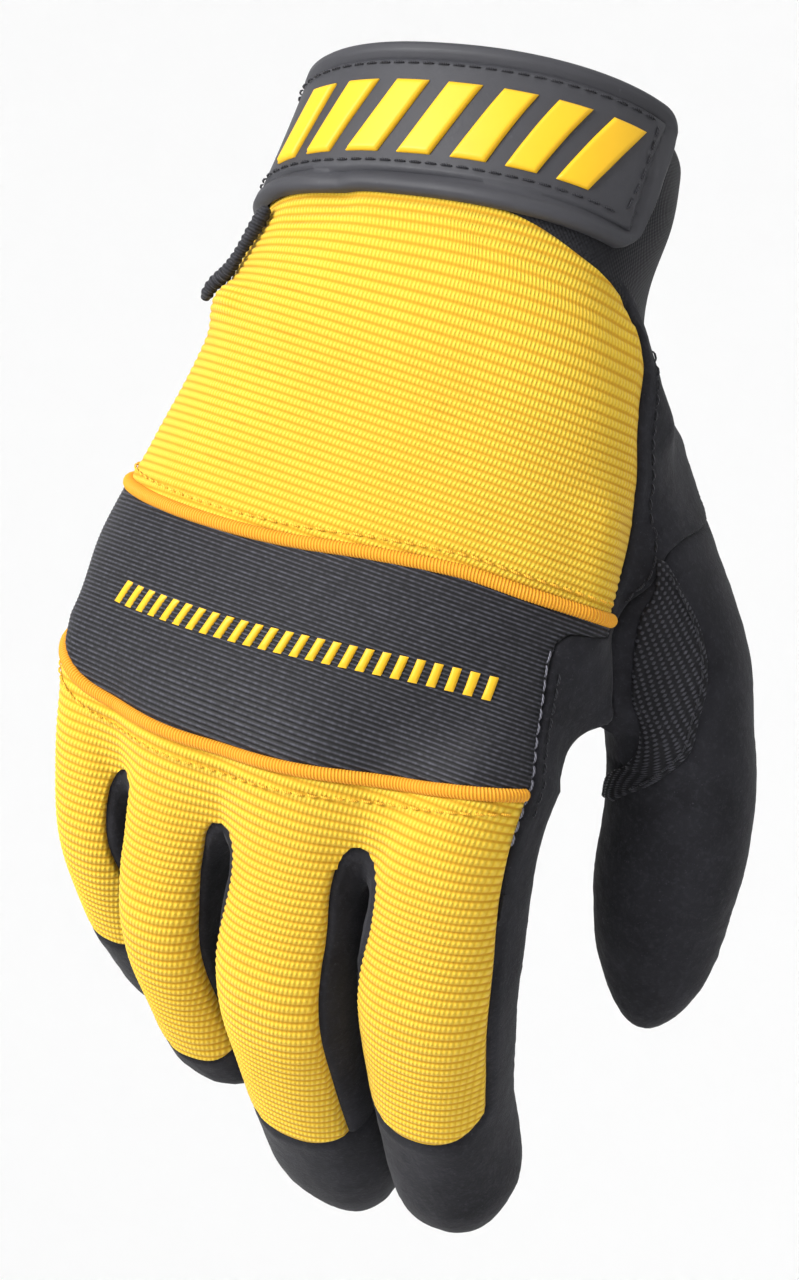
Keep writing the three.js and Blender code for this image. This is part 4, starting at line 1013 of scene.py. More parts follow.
def stitches(paths, length, gap, radius, rise, slant=0.0):
    """Threads along paths: each is a short cord of six rings that rises on a rounded sine and starts
    and ends inside the cloth. A path is (points, up). Returns the points and faces of them all."""
    share = THREAD_SHARE
    rings = len(share)
    angle = np.linspace(0, 2 * PI, THREAD_SIDES, endpoint=False)
    every, faces, count = [], [], 0
    for points, up in paths:
        line, up, at = resample(points, up, THREAD_STEP)
        _, side, out = frames_along(line, up)
        total = int(at[-1] // (length + gap))
        if total < 1:
            continue
        begin = (np.arange(total) + 0.5 * (at[-1] / (length + gap) - total)) * (length + gap)
        t = begin[:, None] + length * share[None]
        here, sideways, upward = (np.stack([np.interp(t, at, values[:, k]) for k in range(3)], -1)
                                  for values in (line, side, out))
        height = rise * np.sin(PI * np.clip(share, 0.02, 0.98)) ** 0.6 - THREAD_SINK * radius
        centre = here + upward * height[None, :, None] + sideways * (slant * (share - 0.5))[None, :, None]
        r = radius * THREAD_SIZE[None, :, None]
        ring = (centre[:, :, None] + sideways[:, :, None] * (r * np.cos(angle))[..., None]
                + upward[:, :, None] * (r * np.sin(angle))[..., None])
        every.append(ring.reshape(-1, 3))
        one = grid_faces(rings, THREAD_SIDES, wrap=True)
        first = rings * THREAD_SIDES * np.arange(total)[:, None, None]
        faces.append((one[None] + first).reshape(-1, 4) + count)
        count += rings * THREAD_SIDES * total
    return np.concatenate(every), np.concatenate(faces)


class Sock:
    """One output of a node, with the arithmetic that shaders need."""

    def __init__(self, tree, socket):
        self.tree, self.socket = tree, socket

    def maths(self, operation, *others):
        """A Math node on this value and others."""
        return self.tree.node("ShaderNodeMath", {"operation": operation}, (self, *others))

    def __add__(self, other):
        return self.maths("ADD", other)

    __radd__ = __add__

    def __mul__(self, other):
        return self.maths("MULTIPLY", other)

    __rmul__ = __mul__

    def __sub__(self, other):
        return self.maths("SUBTRACT", other)

    def __rsub__(self, other):
        return self.tree.node("ShaderNodeMath", {"operation": "SUBTRACT"}, (other, self))

    def __truediv__(self, other):
        return self.maths("DIVIDE", other)

    def sine(self):
        return self.maths("SINE")

    def wave(self):
        """A sine of whole turns, from 0 to 1."""
        return (self * (2 * PI)).sine() * 0.5 + 0.5

    def whole(self):
        return self.maths("FLOOR")


class Finish:
    """A material's node tree: one method adds any node."""

    def __init__(self, name):
        self.material = bpy.data.materials.new(name)
        self.material.use_nodes = True
        self.nodes = self.material.node_tree.nodes
        self.links = self.material.node_tree.links
        self.shader = self.nodes["Principled BSDF"]

    def node(self, kind, settings=None, inputs=(), output=0):
        """Adds a node: its settings first, then values or links for its sockets, by order or by name."""
        made = self.nodes.new(kind)
        for key, value in (settings or {}).items():
            setattr(made, key, value)
        pairs = inputs.items() if isinstance(inputs, dict) else enumerate(inputs)
        for key, value in pairs:
            self.put(made.inputs[key], value)
        return Sock(self, made.outputs[output])

    def put(self, socket, value):
        """A link, a colour or a number for one socket."""
        if isinstance(value, Sock):
            self.links.new(value.socket, socket)
        elif socket.type == "RGBA":
            socket.default_value = (*value, 1)
        else:
            socket.default_value = value

    def set(self, **values):
        """Puts values or links into the shader's sockets; an underscore stands for a space."""
        for key, value in values.items():
            self.put(self.shader.inputs[key.replace("_", " ")], value)

    def cloth(self):
        """The cloth's millimetres across, along and from the edge."""
        vector = self.node("ShaderNodeAttribute", {"attribute_name": "cloth"}, (), "Vector")
        parts = self.nodes.new("ShaderNodeSeparateXYZ")
        self.links.new(vector.socket, parts.inputs[0])
        return [Sock(self, output) for output in parts.outputs]

    def place(self):
        """The object's own coordinates, in metres."""
        return self.node("ShaderNodeTexCoord", None, (), "Object")

    def noise(self, vector, scale, detail=3.0, roughness=0.6):
        """Noise of so many clouds to the metre, about 0 to 1."""
        return self.node("ShaderNodeTexNoise", None,
                         {"Vector": vector, "Scale": scale, "Detail": detail, "Roughness": roughness}, "Fac")

    def blend(self, factor, first, second):
        """A colour between two others."""
        made = self.nodes.new("ShaderNodeMix")
        made.data_type = "RGBA"
        self.put(made.inputs["Factor"], factor)
        self.put(made.inputs[6], first)
        self.put(made.inputs[7], second)
        return Sock(self, made.outputs[2])

    def limits(self, value, low, high, bottom=0.0, top=1.0):
        """A straight ramp from bottom at low to top at high, level outside them."""
        return self.node("ShaderNodeMapRange", {"clamp": True}, (value, low, high, bottom, top))

    def bump(self, height, distance, strength=1.0):
        """Fine relief for the Normal socket."""
        return self.node("ShaderNodeBump", None,
                         {"Height": height, "Distance": distance, "Strength": strength}, "Normal")


def srgb(red, green, blue):
    """A display colour out of 255, as linear light."""
    parts = [c / 255 for c in (red, green, blue)]
    return tuple(c / 12.92 if c <= 0.04045 else ((c + 0.055) / 1.055) ** 2.4 for c in parts)


class GloveSizes(bpy.types.PropertyGroup):
    """Sizes and colours that a user would change."""
    rib_pitch: bpy.props.FloatProperty(
        name="Rib pitch", description="Distance between the yellow knit's ribs", default=1.5 * MM,
        unit="LENGTH", precision=5)
    rib_height: bpy.props.FloatProperty(
        name="Rib height", description="How far the ribs stand out of the grooves", default=0.3 * MM,
        unit="LENGTH", precision=5)
    band_pitch: bpy.props.FloatProperty(
        name="Band rib pitch", description="Distance between the band's fine ribs", default=0.8 * MM,
        unit="LENGTH", precision=5)
    thread: bpy.props.FloatProperty(
        name="Thread", description="Radius of the sewing thread", default=0.22 * MM,
        unit="LENGTH", precision=5)
    stretch_colour: bpy.props.FloatVectorProperty(
        name="Stretch knit", description="Colour of the yellow knit", subtype="COLOR", size=3,
        default=srgb(206, 172, 50))
    piping_colour: bpy.props.FloatVectorProperty(
        name="Piping", description="Colour of the piping's threads", subtype="COLOR", size=3,
        default=srgb(206, 150, 36))
    print_colour: bpy.props.FloatVectorProperty(
        name="Raised marks", description="Colour of the marks on tab and band", subtype="COLOR", size=3,
        default=srgb(206, 160, 14))
    suede_colour: bpy.props.FloatVectorProperty(
        name="Suede", description="Colour of the synthetic suede", subtype="COLOR", size=3,
        default=srgb(35, 35, 39))
    rubber_colour: bpy.props.FloatVectorProperty(
        name="Rubber", description="Colour of the closing tab", subtype="COLOR", size=3,
        default=srgb(50, 50, 54))


def sizes():
    """The sizes and colours that the user set."""
    return bpy.context.scene.glove_sizes


def step(fine, quick):
    """A grid step in millimetres: always the fine one; quick is not used."""
    return fine


def shares(length, pitch):
    """Even shares from 0 to 1, about a pitch apart over a length."""
    return np.linspace(0, 1, max(int(round(length / pitch)), 2) + 1)


def knit_material():
    """Yellow ribbed stretch knit: round ribs of small slanted loops, with painted shade in the grooves,
    between the loops and along the turned edges, and painted highlights on the loop tops.
    """
    f = Finish("yellow_stretch_knit")
    across, along, edge = f.cloth()
    pitch = sizes().rib_pitch / MM
    base = tuple(sizes().stretch_colour)
    rib = (along / pitch).wave()
    loops = (across / 0.8 + (along / pitch) * 0.3).wave()
    halves = ((along / pitch) * 2.0).wave()
    patches = f.noise(f.place(), 60.0, 2.0)
    grains = f.noise(f.place(), 2600.0, 2.0)
    height = rib * 0.5 + loops * 0.6 * (rib * 0.7 + 0.3) + halves * 0.08 + grains * 0.12
    # painted shade: groove marks the grooves between the ribs, and dark is a shaded copy of the knit colour
    # used there, between the loops and along the turned edges; it also tints the random darker patches of the
    # knit's own tone
    groove = f.limits(rib, 0.0, 0.42)
    dark = tuple(c * k for c, k in zip(base, (0.7, 0.55, 0.4)))
    # painted highlight: a paler, lit copy of the knit colour for the tops of the loops on the rib crests
    painted_highlight = tuple(min(c * k, 1) for c, k in zip(base, (1.05, 1.1, 1.7)))
    tint = f.blend(groove, dark, base)
    tint = f.blend(f.limits(loops * rib, 0.2, 0.8), tint, painted_highlight)
    # painted shade between the loops
    tint = f.blend(f.limits(loops, 0.0, 0.3, 0.45, 0), tint, dark)
    tint = f.blend(f.limits(patches, 0.35, 0.75, 0, 0.18), tint, dark)
    # painted shade along the turned edges beside the seams
    tint = f.blend(f.limits(edge, 0.0, 0.7, 0.35, 0), tint, dark)
    f.set(Base_Color=tint, Roughness=0.85, Specular_IOR_Level=0.15, Sheen_Weight=0.08, Sheen_Roughness=0.4,
          Normal=f.bump(height, 0.3 * MM, 1.0))
    return f.material


def band_material():
    """Black fine-ribbed knit: painted shade between the fine ribs and broken painted highlights along each
    rib.
    """
    f = Finish("black_band_knit")
    across, along, _ = f.cloth()
    pitch = sizes().band_pitch / MM
    rib = (along / pitch).wave()
    line = (along / pitch).whole()
    broken = f.node("ShaderNodeTexNoise", {"noise_dimensions": "2D"},
                    {"Vector": f.node("ShaderNodeCombineXYZ", None, (across * 1.1, line * 3.7, 0.0)),
                     "Scale": 1.0, "Detail": 1.0}, "Fac")
    grains = f.noise(f.place(), 2200.0, 2.0)
    # painted highlight: lit marks broken paler streaks along the rib tops
    lit = f.limits(rib * 0.7 + broken * 0.6, 0.72, 1.15)
    # painted shade: darker in the valleys between the ribs
    tint = f.blend(f.limits(rib, 0.1, 0.7), srgb(10, 10, 12), srgb(26, 26, 30))
    tint = f.blend(lit, tint, srgb(66, 66, 74))
    f.set(Base_Color=tint, Roughness=0.6, Specular_IOR_Level=0.22, Sheen_Weight=0.06, Sheen_Roughness=0.35,
          Normal=f.bump(rib * 0.6 + broken * 0.3 + grains * 0.3, 0.14 * MM, 0.9))
    return f.material


def suede_material(name, shade=1.0):
    """Synthetic suede: short nap in lighter and darker clouds, with loose fibre ends."""
    f = Finish(name)
    where = f.place()
    base = tuple(c * shade for c in sizes().suede_colour)
    clouds = f.noise(where, 90.0, 4.0)
    nap = f.noise(where, 900.0, 4.0, 0.7)
    fibres = f.noise(where, 2600.0, 2.0, 0.6)
    pale = tuple(c * 2.3 for c in base)
    dark = tuple(c * 0.55 for c in base)
    tint = f.blend(f.limits(clouds, 0.3, 0.7), dark, base)
    tint = f.blend(f.limits(nap, 0.5, 0.8, 0, 0.5), tint, pale)
    tint = f.blend(f.limits(fibres, 0.66, 0.78, 0, 0.6), tint, tuple(c * 4 for c in base))
    f.set(Base_Color=tint, Roughness=0.92, Specular_IOR_Level=0.12, Sheen_Weight=0.06, Sheen_Roughness=0.45,
          Normal=f.bump(nap * 0.7 + fibres * 0.3, 0.25 * MM, 0.8))
    return f.material


SCALE_PITCH = 1.7


def grip_material():
    """Rubbery printed scales on suede: small slanted lozenges with lower roughness, painted lighter as
    glints, and paler nap flecks painted as sheen.
    """
    f = Finish("grip_print")
    across, along, _ = f.cloth()
    where = f.place()
    rows = (along / SCALE_PITCH) * (2 * PI)
    slanted = (across / SCALE_PITCH + along / (2 * SCALE_PITCH)) * (2 * PI)
    scale = f.limits(slanted.sine() * rows.sine(), 0.1, 0.7)
    nap = f.noise(where, 1500.0, 3.0)
    # painted glints: the raised lozenges lighter than the suede between them
    tint = f.blend(scale, srgb(20, 20, 23), srgb(58, 58, 64))
    # painted sheen: paler flecks of lit nap in random clouds
    tint = f.blend(f.limits(nap, 0.6, 0.8, 0, 0.4), tint, srgb(80, 80, 88))
    f.set(Base_Color=tint, Roughness=f.limits(scale, 0, 1, 0.85, 0.5), Specular_IOR_Level=0.2,
          Normal=f.bump(scale * 0.8 + nap * 0.3, 0.2 * MM, 0.9))
    return f.material


STRAND_PITCH = 0.62
STRAND_LEAN = 6.0


def thread_material(name, colour, dark):
    """Wrapped or twisted thread: fine slanted strands across the cord, with painted shade in the colour dark
    between them.
    """
    f = Finish(name)
    around, along, _ = f.cloth()
    strand = (along / STRAND_PITCH + around / STRAND_LEAN).wave()
    grains = f.noise(f.place(), 1800.0, 2.0)
    # painted shade: the grooves between the strands take the darker colour
    tint = f.blend(strand * 0.8 + grains * 0.2, dark, colour)
    f.set(Base_Color=tint, Roughness=0.6, Specular_IOR_Level=0.2, Sheen_Weight=0.05,
          Normal=f.bump(strand, 0.12 * MM, 0.9))
    return f.material


WEFT_PITCH = 0.8
WARP_PITCH = 0.9


def web_material():
    """Black woven elastic of the cuff and strap."""
    f = Finish("black_web")
    across, along, _ = f.cloth()
    weft = (along * (2 * PI / WEFT_PITCH)).sine()
    warp = (across * (2 * PI / WARP_PITCH)).sine()
    weave = weft * warp * 0.5 + 0.5
    grains = f.noise(f.place(), 1600.0, 3.0)
    tint = f.blend(weave * 0.6 + grains * 0.4, srgb(12, 12, 14), srgb(32, 32, 36))
    f.set(Base_Color=tint, Roughness=0.8, Specular_IOR_Level=0.15, Sheen_Weight=0.06,
          Normal=f.bump(weave + grains * 0.4, 0.15 * MM, 0.8))
    return f.material


def rubber_material():
    """Moulded soft rubber: even dark grey with a very fine grain and slight wear."""
    f = Finish("tab_rubber")
    where = f.place()
    grains = f.noise(where, 1400.0, 3.0, 0.65)
    smears = f.noise(where, 45.0, 4.0)
    specks = f.noise(where, 700.0, 1.0)
    base = tuple(sizes().rubber_colour)
    tint = f.blend(f.limits(smears, 0.3, 0.75, 0, 0.35), base, tuple(c * 0.72 for c in base))
    tint = f.blend(f.limits(specks, 0.74, 0.8, 0, 0.4), tint, tuple(c * 1.7 for c in base))
    f.set(Base_Color=tint, Roughness=f.limits(smears, 0.3, 0.7, 0.5, 0.62), Specular_IOR_Level=0.25,
          Normal=f.bump(grains, 0.06 * MM, 0.6))
    return f.material


def mark_material():
    """Raised yellow marks: smooth soft plastic."""
    f = Finish("raised_marks")
    smears = f.noise(f.place(), 160.0, 4.0)
    base = tuple(sizes().print_colour)
    tint = f.blend(f.limits(smears, 0.4, 0.75, 0, 0.2), base, tuple(c * 0.8 for c in base))
    f.set(Base_Color=tint, Roughness=0.5, Specular_IOR_Level=0.35, Normal=f.bump(smears, 0.05 * MM, 0.4))
    return f.material


MATERIALS = {}


def material(key):
    """Each material once, by its key."""
    makers = {
        "knit": knit_material,
        "band": band_material,
        "suede": lambda: suede_material("black_suede"),
        "grip": grip_material,
        # the second colour of each thread is its painted shade between the strands
        "piping": lambda: thread_material("piping_threads", tuple(sizes().piping_colour), srgb(196, 120, 14)),
        "yellow_thread": lambda: thread_material("yellow_thread", srgb(244, 196, 60), srgb(190, 122, 16)),
        "black_thread": lambda: thread_material("black_thread", srgb(48, 48, 54), srgb(14, 14, 16)),
        "grey_thread": lambda: thread_material("grey_thread", srgb(128, 128, 138), srgb(52, 52, 58)),
        "web": web_material,
        "binding": lambda: thread_material("binding_knit", srgb(44, 44, 50), srgb(14, 14, 16)),
        "rubber": rubber_material,
        "marks": mark_material,
    }
    if key not in MATERIALS:
        MATERIALS[key] = makers[key]()
    return MATERIALS[key]


KNIT_DROP = 0.9
KNIT_ROLL = 1.3


def knit_height(skin, s, edge, seed):
    """Round ribs along s, fading into a turned edge, with a slight gather beside the seams."""
    pitch = sizes().rib_pitch / MM
    rib = np.sqrt(0.5 + 0.5 * np.sin(2 * PI * s / pitch)) - 0.7
    fade = ease(edge / 1.2)
    height = sizes().rib_height / MM * rib * fade
    height = height + 0.22 * noise(skin.points, 14.0, seed) * ease(edge / 6)
    return height + 0.12 * pucker(edge, skin.points, seed + 1) + rolled(edge, KNIT_ROLL, KNIT_DROP)


def suede_height(skin, edge, seed, drop=0.8):
    """Soft unevenness of the suede, its rough nap and the turned edge."""
    points = skin.points
    height = 0.35 * noise(points, 11.0, seed) * ease(edge / 5)
    height = height + 0.1 * noise(points, 2.2, seed + 1) + 0.05 * noise(points, 0.9, seed + 2)
    return height + 0.2 * pucker(edge, points, seed + 3) + rolled(edge, 1.3, drop)


def finish_piece(piece, slot, *nodes):
    """Hides the solids that a piece takes the place of; the slot of its surface is not used."""
    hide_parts(*nodes)


def cover(name, layers, wall, key, slot, node):
    """A sheet of one material in the place of one solid."""
    finish_piece(sheet(name, layers, wall, material(key)), slot, node)


# Heights and widths of the panels in millimetres, from which their grids take rows and columns
PANEL_SIZE = {"back": (60, 112), "band": (37, 118), "side": (100, 45), "palm": (102, 110),
              "web": (22, 45), "thumb": (105, 60), "patch": (48, 34), "cuff": (34, 212), "strap": (24, 24)}
BACK_GAP = 0.2
STRIP_ABOVE = 14
SLOT_LEVEL = 142
SPLIT = {"from": 134, "span": 5}
FAR = 30


def panel_grid(name, row, col):
    """The shares of a panel's rows and columns at two grid steps."""
    height, width = PANEL_SIZE[name]
    return shares(height, row), shares(width, col)


class GLOVE_OT_stretch(bpy.types.Operator):
    """Builds the yellow knit over the back of the hand and the fingers"""
    bl_idname = "glove.stretch"
    bl_label = "Stretch knit"

    def execute(self, context):
        row, col = step(0.3, 0.5), step(1.0, 2.0)
        skin, s = hand_panel(*panel_grid("back", row, col), level(LITTLE_SEAM), back_right,
                             moved(cuff_bottom, BACK_GAP), moved(upper_piping, -PIPING_ROOM))
        edge = skin.edge()
        cover("back_knit", [(skin, knit_height(skin, s, edge, 1), cloth_of(skin, s, edge))],
              STRETCH_WALL, "knit", "yellow_stretch", "back_panel")
        layers = []
        columns = np.linspace(0, 1, step(15, 8))
        for i, finger in enumerate(FINGER_ROWS):
            rows = finger_rows(row, STRIP_ABOVE, finger["tongue"] - SLOT_LEVEL)
            skin, s = finger_strip(i, rows, columns, -1, PIPING_ROOM)
            # beside a slot, a strip has an edge only from the slot's start down
            below = np.clip((s - SPLIT["from"]) / SPLIT["span"], 0, 1)
            left, right = skin.edge("l"), skin.edge("r")
            edge = np.min([skin.edge("tb"), left if i == 0 else mix(FAR, left, below),
                           right if i == len(FINGER_ROWS) - 1 else mix(FAR, right, below)], axis=0)
            layers.append((skin, knit_height(skin, s, edge, 3), np.stack([skin.at[..., 0], s, edge], -1)))
        cover("finger_knit", layers, STRETCH_WALL, "knit", "yellow_stretch", "finger_panel")
        return {"FINISHED"}


PIPING_ENDS = {"upper": 1.63, "lower": 1.325}
PIPING_SIDES = 14


def piping_relief(angle, length):
    """The twist of the piping's wrapped thread: one sine round and along it."""
    return 1 + 0.045 * np.sin(2 * PI * length / STRAND_PITCH + angle)


class GLOVE_OT_band(bpy.types.Operator):
    """Builds the black knit band over the knuckles and its two pipings"""
    bl_idname = "glove.band"
    bl_label = "Knuckle band"

    def execute(self, context):
        skin, s = hand_panel(*panel_grid("band", step(0.2, 0.6), step(0.9, 2.0)), level(LITTLE_SEAM),
                             band_right, moved(upper_piping, PIPING_ROOM), moved(lower_piping, -PIPING_ROOM))
        edge = skin.edge()
        pitch = sizes().band_pitch / MM
        height = 0.1 * np.sin(2 * PI * s / pitch) * ease(edge)
        height = height + 0.2 * noise(skin.points, 16.0, 5) * ease(edge / 6)
        height = height + rolled(edge, 1.1, 0.8)
        cover("band_knit", [(skin, height, cloth_of(skin, s, edge))], STRETCH_WALL, "band", "band_stretch",
              "knuckle_band")
        for name, seam in (("upper", upper_piping), ("lower", lower_piping)):
            turn = np.linspace(LITTLE_SEAM, PIPING_ENDS[name], 160)
            path, up = seam_line(turn, seam(turn), PIPING_SINK)
            piece = cord_body(f"piping_{name}_cord", path, up, PIPING_RADIUS, piping_relief,
                              step(0.12, 0.5), PIPING_SIDES, material("piping"))
            finish_piece(piece, "piping_cord", f"piping_{name}")
        return {"FINISHED"}


CUFF_TUCK = 1.0
FRONT_ABOVE = 5
FRONT_LEVEL = 150
FRONT_SPLIT = {"from": 137, "span": 4}
TIP_ROWS = 40
TIP_WALL = 16
SUEDE_SEED = 11


def suede_layer(skin, along, edge):
    """A layer of suede for a sheet."""
    return skin, suede_height(skin, edge, SUEDE_SEED), cloth_of(skin, along, edge)


class GLOVE_OT_suede(bpy.types.Operator):
    """Builds the suede palm, side, finger fronts and the walls between the fingers"""
    bl_idname = "glove.suede"
    bl_label = "Suede"

    def execute(self, context):
        pitch = step(0.8, 2.0)
        for name, left, right, node in (("side", side_left, thumb_back, "side_panel"),
                                        ("palm", thumb_front, level(6 + LITTLE_SEAM), "palm")):
            skin, s = hand_panel(*panel_grid(name, pitch, pitch), left, right,
                                 moved(cuff_bottom, -CUFF_TUCK), level(PALM_END))
            cover(f"{name}_suede", [suede_layer(skin, s, skin.edge("lr"))], SUEDE_WALL, "suede",
                  "black_suede", node)
        self.webs(pitch)
        self.fronts(pitch)
        return {"FINISHED"}

    def webs(self, pitch):
        """The walls between the fingers: two sides that meet round each web."""
        depth, length = PANEL_SIZE["web"]
        columns = finger_rows(pitch, 1, length)
        columns = columns[columns >= 1] - 1
        for j in range(len(SLOT_ROWS)):
            node = f"fourchette_{FINGER_NAMES[j]}_{FINGER_NAMES[j + 1]}"
            left, right = (suede_layer(part, part.down, part.edge("tb"))
                           for part in fourchette_skin(j, shares(depth, pitch), columns))
            # the left wall's grid runs the other way, so it is turned for its outside to face out
            part, height, cloth = left
            part.at, part.normal = part.at[:, ::-1], part.normal[:, ::-1]
            left = part, height[:, ::-1], cloth[:, ::-1]
            cover(f"{node}_suede", [left, right], SUEDE_WALL, "suede", "black_suede", node)

    def fronts(self, pitch):
        """The fingers' fronts, each with its closed tip."""
        half = np.linspace(0, 1, step(22, 8))
        both = np.concatenate([-half[::-1], half[1:]])
        for i, name in enumerate(FINGER_NAMES):
            rows = finger_rows(pitch, FRONT_ABOVE, FINGER_ROWS[i]["tongue"] - FRONT_LEVEL)
            strip, s = finger_strip(i, rows, half, 1, 0)
            below = np.clip((s - FRONT_SPLIT["from"]) / FRONT_SPLIT["span"], 0, 1)
            edge = mix(FAR, strip.edge("lr"), below)
            tip, tip_s = fingertip_skin(i, np.linspace(0, 1, TIP_ROWS + 1), both, both, TIP_WALL)
            # where the tip goes on from the strip, only the strip's own sides are edges
            first = len(both) + (0 if i == len(FINGER_NAMES) - 1 else TIP_WALL - 1)
            front = slice(first, first + len(both))
            along = tip.across[0, front]
            beside = np.zeros(tip.at.shape[1])
            beside[front] = np.minimum(along - along[0], along[-1] - along)
            layers = [suede_layer(strip, s, edge), suede_layer(tip, tip_s, tip.down + beside[None])]
            cover(f"{name}_suede", layers, SUEDE_WALL, "suede", "black_suede", f"{name}_front")


PATCH_LIFT = 0.75
PATCH_WALL = 0.3


class GLOVE_OT_thumb(bpy.types.Operator):
    """Builds the thumb and the grip patch on its root"""
    bl_idname = "glove.thumb"
    bl_label = "Thumb"

    def execute(self, context):
        length, _ = PANEL_SIZE["thumb"]
        skin, z = thumb_tube(shares(length, step(0.9, 2.5)), step(60, 24))
        cover("thumb_suede", [suede_layer(skin, z, skin.edge("t"))], SUEDE_WALL, "suede", "black_suede",
              "thumb")
        pitch = step(0.35, 1.0)
        height, width = PANEL_SIZE["patch"]
        z = np.linspace(PATCH["z"][-1], PATCH["z"][0], int(height / pitch))[:, None]
        angle = np.radians(mix(patch_left(z), patch_right(z), shares(width, pitch)[None]))
        at, _ = thumb_point(angle, z + 0 * angle)
        skin = Skin(at, None, thumb_field)
        edge = skin.edge()
        cloth = cloth_of(skin, skin.down, edge)
        across, along = cloth[..., 0] / SCALE_PITCH, cloth[..., 1] / SCALE_PITCH
        scale = np.sin(2 * PI * (across + along / 2)) * np.sin(2 * PI * along)
        height = PATCH_LIFT + 0.18 * np.clip(scale, 0, 1) + rolled(edge, 1.6, 0.6)
        height = height + 0.1 * noise(skin.points, 2.2, 12)
        cover("grip_patch", [(skin, height, cloth)], PATCH_WALL, "grip", "grip_print", "thumb_grip_patch")
        return {"FINISHED"}


STRAP_LIFT = 2.0
STRAP_WALL = -0.5
BINDING_SIDES = 16


def binding_relief(angle, length):
    """The binding's gathers: fine slanted waves on slower swellings."""
    return 1 + 0.1 * np.sin(2 * PI * length / 1.4 + 0.5 * np.sin(angle)) + 0.12 * np.sin(length / 2.1)


class GLOVE_OT_cuff(bpy.types.Operator):
    """Builds the cuff, the strap behind it and the gathered binding"""
    bl_idname = "glove.cuff"
    bl_label = "Cuff"

    def execute(self, context):
        pitch = step(0.9, 1.6)
        rows, columns = panel_grid("cuff", pitch, pitch)
        u, v = np.meshgrid(columns, rows)
        turn = wrist_turn(mix(wrist_arc(-2), wrist_arc(4), u))
        s = mix(cuff_top(turn), cuff_bottom(turn) + CUFF_TUCK, v)
        at = hand_point(turn, s)
        at[:, -1] = at[:, 0]
        skin = Skin(at, 0, skin_field)
        edge = skin.edge("tb")
        height = 0.12 * noise(skin.points, 9.0, 21) + rolled(edge, 1.2, 0.7)
        height[:, -1] = height[:, 0]
        cover("cuff_webbing", [(skin, height, cloth_of(skin, s, edge))], CUFF_WALL, "web", "cuff_web", "cuff")
        rows, columns = panel_grid("strap", pitch, pitch)
        u, v = np.meshgrid(columns, rows)
        turn = wrist_turn(mix(wrist_arc(STRAP["start"]), wrist_arc(STRAP["end"]), u))
        skin = Skin(hand_point(turn, mix(STRAP["top"], STRAP["bottom"], v)), 0, skin_field)
        edge = skin.edge("ltb")
        height = STRAP_LIFT + rolled(edge, 0.8, 0.5) + 0.1 * noise(skin.points, 5.0, 22)
        cover("strap_webbing", [(skin, height, cloth_of(skin, skin.down, edge))], STRAP_WALL, "web",
              "strap_web", "wrist_strap")
        t = np.linspace(0, 1, 60)
        path, up = seam_line(mix(BINDING["start"], BINDING["end"], t),
                             mix(BINDING["top"], BINDING["bottom"], t), BINDING["lift"])
        piece = cord_body("binding_cord", path, up, BINDING["radius"], binding_relief, step(0.15, 0.4),
                          BINDING_SIDES, material("binding"))
        finish_piece(piece, "binding_knit", "side_binding")
        return {"FINISHED"}


TAB_FROM = float(wrist_arc(TAB["left"]))
TAB_LENGTH = float(wrist_arc(TAB["right"])) - TAB_FROM
TAB_HEIGHT = TAB["bottom"] - TAB["top"]
TAB_PLATE = 2.2
TAB_LIFT = 0.6
TAB_FACE = TAB_LIFT + TAB_PLATE


def tab_cut(x):
    """How much a round corner takes off the tab's top and bottom at x."""
    inset = np.clip((TAB["corner"] - np.minimum(x, TAB_LENGTH - x)) / TAB["corner"], 0, 1)
    return TAB["corner"] * (1 - np.sqrt(1 - inset**2))


def tab_skin(x, y):
    """Skin under the tab at x along it and y down it."""
    arc = TAB_FROM + x * (1 - TAB["slant"] / TAB_LENGTH * y / TAB_HEIGHT)
    s = TAB["top"] + y - TAB["lean"] * (x / TAB_LENGTH) ** 4
    return Skin(hand_point(wrist_turn(arc), s), 0, skin_field)


BARS = {"count": 7, "from": 0.34, "to": 0.95, "top": 8.2, "bottom": 22.4, "slant": 6.0, "share": 0.62,
        "lift": 0.85, "sink": 0.6}
DASHES = {"count": 25, "from": -0.92, "to": 1.13, "height": 4.4, "slant": 0.025, "share": 0.5,
          "lift": 0.5, "wall": 0.4}


def bar_layers():
    """Plain raised slanted bars on the tab's plate, each a grid of its own."""
    layers = []
    u, v = np.meshgrid(np.linspace(0, 1, 15), np.linspace(0, 1, 31))
    for k in range(BARS["count"]):
        share = BARS["from"] + (BARS["to"] - BARS["from"]) * (k + BARS["share"] * u) / BARS["count"]
        x = TAB_LENGTH * share + BARS["slant"] * (0.5 - v)
        skin = tab_skin(x, mix(BARS["top"], BARS["bottom"], v))
        edge = skin.edge()
        height = TAB_FACE + BARS["lift"] + rolled(edge, 0.7, 0.6)
        layers.append((skin, height, cloth_of(skin, skin.down, edge)))
    return layers


def dash_layers():
    """Small plain dashes in an arc along the middle of the knuckle band."""
    layers = []
    u, v = np.meshgrid(np.linspace(0, 1, 5), np.linspace(-0.5, 0.5, 8))
    for k in range(DASHES["count"]):
        turn = mix(DASHES["from"], DASHES["to"], (k + DASHES["share"] * u) / DASHES["count"])
        s = mix(upper_piping(turn), lower_piping(turn), 0.5) + DASHES["height"] * v
        skin = Skin(hand_point(turn - DASHES["slant"] * v, s), 0, skin_field)
        edge = skin.edge()
        layers.append((skin, DASHES["lift"] + rolled(edge, 0.4, 0.3), cloth_of(skin, skin.down, edge)))
    return layers


def tab_line(x, y, lift):
    """A line on the tab's plate with its outward directions."""
    return raised_line(tab_skin(x[None], y[None]), lift)


